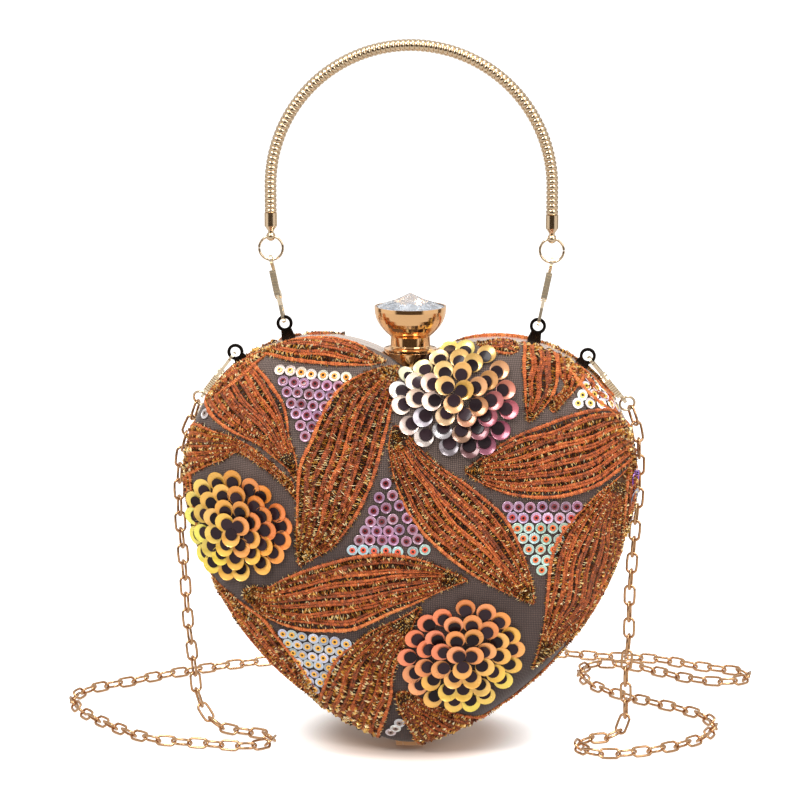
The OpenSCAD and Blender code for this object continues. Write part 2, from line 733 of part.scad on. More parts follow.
// Thumb lever: a ribbed pad above the pivot, two cheeks round it and a nose that shuts the claw
module hook_lever() {
    cheek_t = (lever_w - hook_t) / 2 - cheek_gap;
    color(gold) difference() {
        union() {
            translate([-lever_w / 2, -pad_y0, pad_z0]) cube([lever_w, pad_y0 - pad_y1, pad_z1 - pad_z0]);
            for (i = [0 : pad_ribs - 1])
                translate([-lever_w / 2, -pad_y0 - pad_rib_h,
                    pad_z0 + (i + 1) * (pad_z1 - pad_z0) / (pad_ribs + 1) - pad_rib_w / 2])
                    cube([lever_w, pad_rib_h * 2, pad_rib_w]);
            for (side = [-1, 1])
                translate([side * (hook_t / 2 + cheek_gap + cheek_t / 2), 0, 0]) hook_plate(cheek_t) {
                    translate([-gate_y, gate_z]) circle(r = gate_boss_r, $fn = small_fn);
                    polygon([
                        [-pad_y0, pad_z0], [-pad_y0, pad_z0 + 2 * gate_boss_r],
                        [-gate_y, gate_z + gate_boss_r], [-gate_y, gate_z - gate_boss_r]
                    ]);
                }
            hook_plate(hook_t) polygon([
                [-pad_y0, pad_z0 + gate_boss_r], [-pad_y1, pad_z0 + gate_boss_r],
                [-nose_y, body_low], [-nose_y, nose_z],
                [-nose_y - nose_t, nose_z], [-nose_y - nose_t, body_low]
            ]);
        }
        gate_rod(gate_pin_r + pin_play, 2 * lever_w);
    }
}
module hook_rivet() {
    color(gunmetal) gate_rod(gate_pin_r, lever_w);
}
module hook_left() { at_hook(-1) hook_body(); }
module hook_left_lever() { at_hook(-1) hook_lever(); }
module hook_left_rivet() { at_hook(-1) hook_rivet(); }
module hook_right() { at_hook(1) hook_body(); }
module hook_right_lever() { at_hook(1) hook_lever(); }
module hook_right_rivet() { at_hook(1) hook_rivet(); }
module strap_hook_left() { at_strap_hook(-1) hook_body(); }
module strap_hook_left_lever() { at_strap_hook(-1) hook_lever(); }
module strap_hook_left_rivet() { at_strap_hook(-1) hook_rivet(); }
module strap_hook_right() { at_strap_hook(1) hook_body(); }
module strap_hook_right_lever() { at_strap_hook(1) hook_lever(); }
module strap_hook_right_rivet() { at_strap_hook(1) hook_rivet(); }

// Split wire ring in its own frame: flat in X and Z, its split to the right
module split_ring(mean_r) {
    turn = 2 * asin(ring_split / 2 / mean_r);
    color(gold) rotate([90, 0, 0])
        rotate([0, 0, turn / 2])
            rotate_extrude(angle = 360 - turn, $fn = arc_fn)
                translate([mean_r, 0]) circle(r = ring_wire, $fn = small_fn);
}
module handle_ring(side) {
    mirror([side < 0 ? 1 : 0, 0, 0])
        translate([handle_r, frame_mid, ring_z]) split_ring(ring_r);
}
module ring_left() { handle_ring(-1); }
module ring_right() { handle_ring(1); }
module strap_ring(side) {
    at_strap_hook(side) translate([0, 0, hook_l + strap_ring_r]) split_ring(strap_ring_r);
}
module strap_ring_left() { strap_ring(-1); }
module strap_ring_right() { strap_ring(1); }

// Points along the handle's tube: up one side, over the arch and down the other
tube_l = 2 * handle_side + PI * handle_r;
rib_count = round(tube_l / rib_pitch);
function tube_place(s) =
    s < handle_side ? [[-handle_r, arch_z - handle_side + s], 90]
    : s > tube_l - handle_side ? [[handle_r, arch_z - s + tube_l - handle_side], -90]
    : let (a = 180 - (s - handle_side) / handle_r * 180 / PI)
        [[handle_r * cos(a), arch_z + handle_r * sin(a)], a - 90];
function tube_ring(s, r) = let (p = tube_place(s)) [
    for (i = [0 : tube_sides - 1])
        let (b = 360 * (i + 0.5) / tube_sides)
            [p[0][0] - sin(p[1]) * r * cos(b), frame_mid + r * sin(b), p[0][1] + cos(p[1]) * r * cos(b)]
];
// Ribbed tube with its bore, a crest and a groove to each rib
module handle_tube() {
    n = tube_sides;
    outer = [for (i = [0 : 2 * rib_count])
        tube_ring(tube_l * i / (2 * rib_count), tube_r - (i % 2 == 0 ? rib_depth : 0))];
    bore_rings = ceil(rib_count / bore_step_ribs);
    inner = [for (i = [0 : bore_rings]) tube_ring(tube_l * i / bore_rings, tube_bore_r)];
    a = len(outer);
    b = len(inner);
    color(gold) polyhedron(
        points = [for (r = outer) each r, for (r = inner) each r],
        faces = [
            for (k = [0 : a - 2]) each flipped(band_faces(k * n, (k + 1) * n, n)),
            for (k = [0 : b - 2]) each band_faces((a + k) * n, (a + k + 1) * n, n),
            each band_faces(0, a * n, n),
            each flipped(band_faces((a - 1) * n, (a + b - 1) * n, n))
        ]
    );
}
// End cap: a ball eye, a waisted neck, a plain cylinder and a spigot up the tube's bore
module handle_cap(side) {
    color(gold) translate([side * handle_r, frame_mid, eye_z]) difference() {
        union() {
            sphere(r = eye_r, $fn = small_fn);
            rotate_extrude($fn = small_fn) polygon([
                [0, 0], [cap_neck_r, 0], [cap_neck_r, eye_to_cap / 2],
                [cap_r, eye_to_cap], [cap_r, eye_to_cap + cap_l],
                [spigot_r, eye_to_cap + cap_l],
                [spigot_r, eye_to_cap + cap_l + spigot_l],
                [0, eye_to_cap + cap_l + spigot_l]
            ]);
        }
        translate([-cap_r, 0, 0]) rotate([0, 90, 0]) cylinder(r = eye_hole_r, h = 2 * cap_r, $fn = small_fn);
    }
}
module handle_cap_left() { handle_cap(-1); }
module handle_cap_right() { handle_cap(1); }

// The strap's whole route, smoothed by a curve through its points
route_start = strap_end - end_seat * strap_dir + node_reach * strap_dir;
route = [
    [-route_start[0], route_start[1], route_start[2]],
    each route_middle,
    route_start
];
function spline(p0, p1, p2, p3, t) =
    0.5 * (2 * p1 + (p2 - p0) * t + (2 * p0 - 5 * p1 + 4 * p2 - p3) * t * t
        + (3 * p1 - p0 - 3 * p2 + p3) * t * t * t);
route_last = len(route) - 1;
fine = [
    for (i = [0 : route_last - 1], k = [0 : route_steps - 1])
        spline(route[max(i - 1, 0)], route[i], route[i + 1], route[min(i + 2, route_last)], k / route_steps),
    route[route_last]
];
fine_s = [for (i = 0, s = 0; i < len(fine); s = s + norm(fine[min(i + 1, len(fine) - 1)] - fine[i]), i = i + 1) s];
tables = [for (c = [0 : 2]) [for (i = [0 : len(fine) - 1]) [fine_s[i], fine[i][c]]]];
strap_l = fine_s[len(fine_s) - 1];
link_count = 2 * round((strap_l / link_pitch - 1) / 2) + 1;
function chain_node(i) = let (s = strap_l * i / link_count) [for (c = [0 : 2]) lookup(s, tables[c])];
function link_way(i) = let (d = chain_node(i + 1) - chain_node(i)) d / norm(d);

// The side of each link, carried without twist from the middle link to both ends
function carried(u, d) = let (v = u - d * (u * d)) v / norm(v);
middle_link = (link_count - 1) / 2;
sides_up = [for (i = middle_link, u = [0, 0, 1]; i < link_count; i = i + 1,
    u = i < link_count ? carried(u, link_way(i)) : u) u];
sides_down = [for (i = middle_link, u = [0, 0, 1]; i >= 0; i = i - 1,
    u = i >= 0 ? carried(u, link_way(i)) : u) u];
function link_side_of(i) = i >= middle_link ? sides_up[i - middle_link] : sides_down[middle_link - i];

// Oval link lying flat in X and Y, its length along X
module link() {
    turn_r = link_mean_r;
    translate([link_side / 2, 0, 0]) rotate([0, 0, -90])
        rotate_extrude(angle = 180, $fn = small_fn) translate([turn_r, 0]) circle(r = link_wire, $fn = small_fn);
    translate([-link_side / 2, 0, 0]) rotate([0, 0, 90])
        rotate_extrude(angle = 180, $fn = small_fn) translate([turn_r, 0]) circle(r = link_wire, $fn = small_fn);
    translate([-link_side / 2, turn_r, 0]) rotate([0, 90, 0])
        cylinder(r = link_wire, h = link_side, $fn = small_fn);
    translate([-link_side / 2, -turn_r, 0]) rotate([0, 90, 0])
        cylinder(r = link_wire, h = link_side, $fn = small_fn);
}
// Link number i, turned a quarter against its neighbours, each showing itself half open to the front
module placed_link(i) {
    a = chain_node(i);
    b = chain_node(i + 1);
    d = link_way(i);
    u = link_side_of(i);
    v = cross(d, u);
    roll = (i % 2) * 90 + open_roll * (2 - min(1, i / roll_links, (link_count - 1 - i) / roll_links));
    w = u * cos(roll) + v * sin(roll);
    t = cross(d, w);
    m = (a + b) / 2;
    multmatrix([
        [d[0], w[0], t[0], m[0]],
        [d[1], w[1], t[1], m[1]],
        [d[2], w[2], t[2], m[2]],
        [0, 0, 0, 1]
    ]) link();
}
// The strap in stretches, as shares of its links from the left end to the right
chain_shares = [0, 0.125, 0.265, 0.41, 0.57, 0.725, 0.875, 1];
function link_from(k) = round(link_count * chain_shares[k]);
module chain(k) {
    color(gold) for (i = [link_from(k) : link_from(k + 1) - 1]) placed_link(i);
}
module chain_fall_left() { chain(0); }
module chain_front_left() { chain(1); }
module chain_side_left() { chain(2); }
module chain_behind() { chain(3); }
module chain_side_right() { chain(4); }
module chain_front_right() { chain(5); }
module chain_fall_right() { chain(6); }

back_frame();
back_shell();
back_cover();
back_lining();
front_frame();
front_shell();
front_cover();
front_lining();
hinge_back();
hinge_front();
hinge_pin();
clasp_base();
clasp_rivets();
clasp_keeper();
clasp_knob();
clasp_stone();
clasp_tongue();
tongue_screw();
lug_handle_left();
lug_handle_right();
lug_strap_left();
lug_strap_right();
hook_left();
hook_left_lever();
hook_left_rivet();
hook_right();
hook_right_lever();
hook_right_rivet();
ring_left();
ring_right();
handle_tube();
handle_cap_left();
handle_cap_right();
strap_hook_left();
strap_hook_left_lever();
strap_hook_left_rivet();
strap_hook_right();
strap_hook_right_lever();
strap_hook_right_rivet();
strap_ring_left();
strap_ring_right();
chain_fall_left();
chain_front_left();
chain_side_left();
chain_behind();
chain_side_right();
chain_front_right();
chain_fall_right();
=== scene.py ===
"""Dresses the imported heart-shaped evening bag in cloth, embroidery, sequins, metal, stone and chain."""

import json
import math

import bpy
import numpy as np
from mathutils import Matrix, Vector

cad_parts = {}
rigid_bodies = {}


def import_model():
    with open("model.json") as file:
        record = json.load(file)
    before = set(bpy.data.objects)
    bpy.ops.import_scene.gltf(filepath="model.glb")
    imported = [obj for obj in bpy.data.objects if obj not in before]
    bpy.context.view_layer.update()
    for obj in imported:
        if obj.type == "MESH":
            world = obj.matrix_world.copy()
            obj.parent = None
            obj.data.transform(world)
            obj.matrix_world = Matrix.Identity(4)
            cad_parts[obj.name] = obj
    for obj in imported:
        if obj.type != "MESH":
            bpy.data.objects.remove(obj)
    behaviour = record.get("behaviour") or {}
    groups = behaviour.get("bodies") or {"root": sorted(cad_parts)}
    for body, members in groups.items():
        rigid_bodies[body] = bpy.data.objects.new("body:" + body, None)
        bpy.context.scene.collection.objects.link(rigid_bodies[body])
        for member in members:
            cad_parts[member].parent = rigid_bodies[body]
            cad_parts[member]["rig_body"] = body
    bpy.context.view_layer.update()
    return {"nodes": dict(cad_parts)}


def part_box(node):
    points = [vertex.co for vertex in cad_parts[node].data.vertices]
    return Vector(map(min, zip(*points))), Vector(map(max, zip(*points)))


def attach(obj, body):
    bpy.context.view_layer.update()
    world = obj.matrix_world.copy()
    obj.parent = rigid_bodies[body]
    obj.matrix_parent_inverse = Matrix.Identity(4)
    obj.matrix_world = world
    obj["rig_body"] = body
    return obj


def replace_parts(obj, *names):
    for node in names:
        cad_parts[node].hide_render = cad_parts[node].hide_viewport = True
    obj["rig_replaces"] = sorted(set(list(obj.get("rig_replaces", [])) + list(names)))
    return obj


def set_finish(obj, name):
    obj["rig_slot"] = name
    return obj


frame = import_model()

bl_info = {
    "name": "Heart evening bag",
    "version": (1, 0, 0),
    "blender": (4, 5, 0),
    "location": "View3D > Sidebar > Heart bag",
    "description": "Builds the cloth, embroidery, metal finishes and studio of a heart-shaped evening bag",
    "category": "Add Mesh",
}

MM = 0.001

# The camera, found from where the bag's known places fall in the picture
CAMERA_PLACE = Vector((0.0830, -1.1871, 0.3520))
CAMERA_YAW = math.radians(4.1946)
CAMERA_PITCH = math.radians(10.0732)
CAMERA_FOCUS = 3074.3
PICTURE = 800

# Where the painted shadow under the bag has its middle, and how far from there it starts and ends to fade;
# the floor's glow fades there too
SHADOW_MIDDLE = (0, 0.016, 0)
SHADOW_FADE = (0.026, 0.060)
# The floor's colour, painted darker and browner as a shadow by the tip and pale beyond it, and how much it
# glows for the camera beyond it
FLOOR_PAINTED_SHADOW, FLOOR_PALE = (0.80, 0.66, 0.57, 1), (0.86, 0.83, 0.81, 1)
FLOOR_GLOW = 0.76
# How bright the surround is for what it only lights
PLAIN_LIGHT = 0.52
WHITE = (1, 1, 1, 1)
# What metal and glass mirror of the floor, a glow that only reflections see: a painted shadow by the tip, the
# pale floor, and painted bright and dark stripes from some way off
MIRRORED_PAINTED_SHADOW = (0.40, 0.32, 0.26, 1)
MIRRORED_PALE = (0.92, 0.90, 0.88, 1)
STRIPES_FROM = (0.55, 0.75)
FLOOR_STRIPES = [
    (0.22, MIRRORED_PALE[:3]), (0.27, (0.12, 0.09, 0.07)), (0.34, (0.12, 0.09, 0.07)),
    (0.39, (1.0, 0.98, 0.96)), (0.83, (1.0, 0.98, 0.96)), (0.88, (0.07, 0.05, 0.03)),
]
# What they mirror of the surround, from below to above, and the dark flag that stands before it
ROOM_BANDS = [
    (0.0, (0.55, 0.52, 0.50)), (0.45, (0.66, 0.62, 0.58)), (0.49, (0.07, 0.05, 0.04)),
    (0.54, (0.10, 0.08, 0.06)), (0.58, (0.95, 0.93, 0.92)), (0.70, (1.0, 1.0, 1.0)),
    (0.76, (0.14, 0.11, 0.09)), (0.82, (1.0, 1.0, 1.0)),
]
FLAG = (0.05, 0.035, 0.03, 1)
FLAG_EDGE = [(0.0, (0, 0, 0)), (0.955, (0, 0, 0)), (0.985, (1, 1, 1))]
# Name, place, size and power of each lamp, and the place that they light
LAMPS = [
    ("key", (-0.7, -0.9, 1.3), 0.6, 15.0),
    ("fill", (0.9, -0.9, 0.8), 0.7, 6.0),
    ("top", (0.5, -0.35, 1.5), 0.5, 12.0),
]
LIT_PLACE = Vector((0, 0, 0.12))

# The heart's outline and the domes, as in the solids
HEART = {
    "width": 178 * MM, "lobe_r": 54.5 * MM, "flank_r": 129 * MM, "flank_turn": math.radians(10),
    "tip_r": 30 * MM, "tip_z": 3.2 * MM, "step": 0.4 * MM, "rim_y": 6.15 * MM, "height": 23.95 * MM,
}
POLE_SHARE = 0.84
ELLIPSE_SHARES = (0.94, 0.58)
DOME_POWER = 2.3
BLEND_POWER = 2.2


class Wire:
    """One socket of a finish, on which Python's operators work as shader maths."""

    def __init__(self, finish, socket):
        self.finish = finish
        self.socket = socket

    def __add__(self, other):
        return self.finish.maths("ADD", self, other)

    def __radd__(self, other):
        return self.finish.maths("ADD", other, self)

    def __sub__(self, other):
        return self.finish.maths("SUBTRACT", self, other)

    def __rsub__(self, other):
        return self.finish.maths("SUBTRACT", other, self)

    def __mul__(self, other):
        return self.finish.maths("MULTIPLY", self, other)

    def __rmul__(self, other):
        return self.finish.maths("MULTIPLY", other, self)

    def __truediv__(self, other):
        return self.finish.maths("DIVIDE", self, other)

    def __rtruediv__(self, other):
        return self.finish.maths("DIVIDE", other, self)

    def sine(self):
        return self.finish.maths("SINE", self, 0)


class Finish:
    """A material whose nodes are added one by one."""

    def __init__(self, name, owner=None):
        self.owner = owner or bpy.data.materials.new(name)
        self.owner.use_nodes = True
        self.tree = self.owner.node_tree
        self.tree.nodes.clear()

    def node(self, kind, sockets=None, settings=None, out=0):
        """Adds one node: its sockets take wires or values, and one of its outputs comes back."""
        made = self.tree.nodes.new(kind)
        for key, value in (settings or {}).items():
            if key == "stops":
                ramp = made.color_ramp
                while len(ramp.elements) < len(value):
                    ramp.elements.new(0.5)
                for stop, (place, colour) in zip(ramp.elements, value):
                    stop.position = place
                    stop.color = (*colour, 1)
            else:
                setattr(made, key, value)
        for key, value in (sockets or {}).items():
            if isinstance(value, Wire):
                self.tree.links.new(value.socket, made.inputs[key])
            else:
                made.inputs[key].default_value = value
        return Wire(self, made.outputs[out]) if made.outputs else made

    def maths(self, operation, a, b):
        return self.node("ShaderNodeMath", {0: a, 1: b}, {"operation": operation})

    def mix(self, share, a, b, blend="MIX"):
        kind = {"data_type": "RGBA", "blend_type": blend}
        return self.node("ShaderNodeMix", {0: share, 6: a, 7: b}, kind, out=2)

    def ramp(self, value, stops):
        return self.node("ShaderNodeValToRGB", {0: value}, {"stops": stops})

    def noise(self, place, scale, detail=3, rough=0.5):
        return self.node("ShaderNodeTexNoise", {
            "Vector": place, "Scale": scale, "Detail": detail, "Roughness": rough})

    def bump(self, height, distance, strength=1.0):
        return self.node("ShaderNodeBump", {"Height": height, "Distance": distance, "Strength": strength})

    def coords(self, which="Object"):
        return self.node("ShaderNodeTexCoord", out=which)

    def part(self, place, index):
        """One of the three numbers of a place."""
        return self.node("ShaderNodeSeparateXYZ", {0: place}, out=index)

    def ray(self, kind):
        return self.node("ShaderNodeLightPath", out=f"Is {kind} Ray")

    def between(self, value, low, high):
        """A smooth share that grows from 0 to 1 while the value goes from low to high."""
        return self.node("ShaderNodeMapRange", {0: value, 1: low, 2: high, 3: 0.0, 4: 1.0},
                         {"interpolation_type": "SMOOTHSTEP"})

    def choose(self, share, first, second):
        return self.node("ShaderNodeMixShader", {0: share, 1: first, 2: second})

    def attribute(self, name, colour=False):
        return self.node("ShaderNodeAttribute", None, {"attribute_name": name}, out=0 if colour else 2)

    def surface(self, **sockets):
        shader = self.node("ShaderNodeBsdfPrincipled", {k.replace("_", " "): v for k, v in sockets.items()})
        self.node("ShaderNodeOutputMaterial", {"Surface": shader})
        return self.owner


def rgb(r, g, b):
    """Colour as seen on a screen, 0 to 255, made linear for a shader."""
    return tuple(((c / 255 + 0.055) / 1.055) ** 2.4 if c > 10 else c / 255 / 12.92 for c in (r, g, b))


def rgba(r, g, b):
    return (*rgb(r, g, b), 1)


# Metal finishes
def polished(name, colour, rough=0.16, deep=0.75, grain=900.0):
    f = Finish(name)
    place = f.coords()
    cloud = f.noise(place, 45.0, 2)
    fine = f.noise(place, grain, 2)
    dark = (*[c * deep for c in colour[:3]], 1)
    return f.surface(
        Base_Color=f.mix(cloud, dark, colour), Metallic=1.0,
        Roughness=cloud * 0.10 + (rough - 0.04), Normal=f.bump(fine, 0.00003, 0.3),
    )


# Net cloth: two families of slanting threads over a dark ground, from the cloth's own map
def net_cloth(name, count=4200.0):
    f = Finish(name)
    uv = f.coords("UV")
    u, v = f.part(uv, 0), f.part(uv, 1)
    threads = (((u + v) * count).sine() * ((u - v) * count).sine()) * 0.5 + 0.5
    cloud = f.noise(uv, 26.0, 3)
    lift = f.ramp(cloud * 0.5 + threads * 0.5, [
        (0.15, rgb(48, 38, 36)), (0.5, rgb(92, 78, 73)), (0.9, rgb(158, 142, 134))])
    # Painted shade: the cloth is made lighter towards the top and darker towards the bottom by its height
    tone = f.ramp(f.part(f.coords(), 2) * 6.0, [
        (0.10, rgb(150, 128, 124)), (0.6, rgb(190, 172, 165)), (1.0, rgb(255, 246, 238))])
    return f.surface(
        Base_Color=f.mix(1.0, lift, tone, "MULTIPLY"), Roughness=0.8, Sheen_Weight=0.25,
        Normal=f.bump(threads, 0.0002, 0.7),
    )


# Embroidery cord: matt rust thread wound tight, in tones that change from strand to strand; its darkest tones
# colour the sheet of painted shade under the cords
def rust_cord(name):
    f = Finish(name)
    uv = f.coords("UV")
    twist = ((f.part(uv, 0) * 7000.0 + f.part(uv, 1) * 9.0).sine()) * 0.5 + 0.5
    fuzz = f.noise(f.coords(), 2200.0, 4, 0.7)
    tone = f.attribute("shade")
    colour = f.ramp(tone * 0.62 + fuzz * 0.26 + twist * 0.12, [
        (0.08, rgb(26, 12, 6)), (0.34, rgb(118, 50, 18)),
        (0.60, rgb(192, 90, 34)), (0.92, rgb(242, 150, 80))])
    return f.surface(
        Base_Color=colour, Roughness=0.62,
        Sheen_Weight=0.5, Sheen_Roughness=0.4, Sheen_Tint=rgba(255, 190, 130),
        Normal=f.bump(twist * 0.6 + fuzz * 0.4, 0.00035, 0.9),
    )


# Metal thread: bright and dark stitches side by side, tones changing at random, with the near-white ones
# painted glints and the near-black ones painted shade
def gold_thread(name):
    f = Finish(name)
    tone = f.attribute("shade")
    colour = f.ramp(tone, [
        (0.0, rgb(30, 16, 8)), (0.3, rgb(124, 60, 22)), (0.6, rgb(212, 152, 62)),
        (0.8, rgb(252, 212, 124)), (1.0, rgb(255, 242, 196))])
    return f.surface(Base_Color=colour, Metallic=0.3, Roughness=0.42 - tone * 0.15)


# Sequins: coated film whose colour is carried by each sequin
def sequin_film(name, rough=0.2, metal=0.55, coat=0.5):
    f = Finish(name)
    tint = f.attribute("tint", colour=True)
    cloud = f.noise(f.coords(), 160.0, 2)
    return f.surface(
        Base_Color=tint, Metallic=metal, Roughness=cloud * 0.12 + rough,
        Coat_Weight=coat, Coat_Roughness=0.06, Specular_IOR_Level=0.5 * min(1, coat * 2),
    )


# Mesh helpers
def clear_choice():
    if bpy.context.object and bpy.context.object.mode != "OBJECT":
        bpy.ops.object.mode_set(mode="OBJECT")
    bpy.ops.object.select_all(action="DESELECT")


def pick(obj):
    """Makes one object the chosen and active one."""
    clear_choice()
    obj.select_set(True)
    bpy.context.view_layer.objects.active = obj


def settle(obj, name, finish, body, slot, smooth=True, angle=40):
    """Applies place and modifiers, names the piece, gives it its finish and its body."""
    pick(obj)
    for modifier in list(obj.modifiers):
        bpy.ops.object.modifier_apply(modifier=modifier.name)
    bpy.ops.object.transform_apply(location=True, rotation=True, scale=True)
    if smooth:
        bpy.ops.object.shade_smooth_by_angle(angle=math.radians(angle))
    obj.name = name
    obj.data.name = name
    obj.data.materials.clear()
    obj.data.materials.append(finish)
    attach(obj, body)
    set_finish(obj, slot)
    return obj


def mesh_piece(name, verts, faces, uv=None, numbers=None, colours=None):
    """One object from arrays: corners, faces in one or more sizes, a map, and attributes by corner."""
    mesh = bpy.data.meshes.new(name)
    groups = faces if isinstance(faces, list) else [faces]
    mesh.from_pydata(verts.tolist(), [], [row for g in groups for row in g.tolist()])
    obj = bpy.data.objects.new(name, mesh)
    bpy.context.scene.collection.objects.link(obj)
    if uv is not None:
        layer = mesh.uv_layers.new(name="map")
        index = np.zeros(len(mesh.loops), int)
        mesh.loops.foreach_get("vertex_index", index)
        layer.data.foreach_set("uv", uv[index].astype(np.float32).ravel())
    for key, values in (numbers or {}).items():
        mesh.attributes.new(key, "FLOAT", "POINT").data.foreach_set("value", values.astype(np.float32))
    for key, values in (colours or {}).items():
        full = np.ones((len(verts), 4), np.float32)
        full[:, :3] = values
        mesh.attributes.new(key, "FLOAT_COLOR", "POINT").data.foreach_set("color", full.ravel())
    return obj


def unit(v):
    return v / np.maximum(np.linalg.norm(v, axis=-1, keepdims=True), 1e-12)


def lengths(line):
    """How far each point of a line is from its start, along it."""
    return np.concatenate([[0], np.cumsum(np.linalg.norm(np.diff(line, axis=0), axis=1))])


def look_up(want, have, rows):
    """Rows read at the wanted places, column by column."""
    return np.stack([np.interp(want, have, column) for column in rows.T], axis=1)


def rounded(q, steps):
    """A rounded line through the points, of which the first and the last only steer it."""
    t = np.linspace(0, 1, steps, endpoint=False)[:, None]
    rows = [
        0.5 * (2 * b + (c - a) * t + (2 * a - 5 * b + 4 * c - d) * t * t + (3 * b - a - 3 * c + d) * t ** 3)
        for a, b, c, d in zip(q, q[1:], q[2:], q[3:])]
    return np.vstack(rows + [q[-2:-1]])


def smooth_line(points, count):
    """A rounded line through the points, as count points at equal distances."""
    p = np.array(points, float)
    fine = rounded(np.vstack([2 * p[0] - p[1], p, 2 * p[-1] - p[-2]]), 16)
    s = lengths(fine)
    return look_up(np.linspace(0, s[-1], count), s, fine)


def tube_faces(rows, sides, flip=False):
    """Faces of a closed tube of rings, with a cap at each end."""
    i, j = np.arange(rows - 1)[:, None] * sides, np.arange(sides)[None, :]
    k = (j + 1) % sides
    quads = np.stack([i + j, i + k, i + sides + k, i + sides + j], axis=-1).reshape(-1, 4)
    caps = [j[:, ::-1], (rows - 1) * sides + j]
    return [group[:, ::-1] for group in [quads] + caps] if flip else [quads] + caps


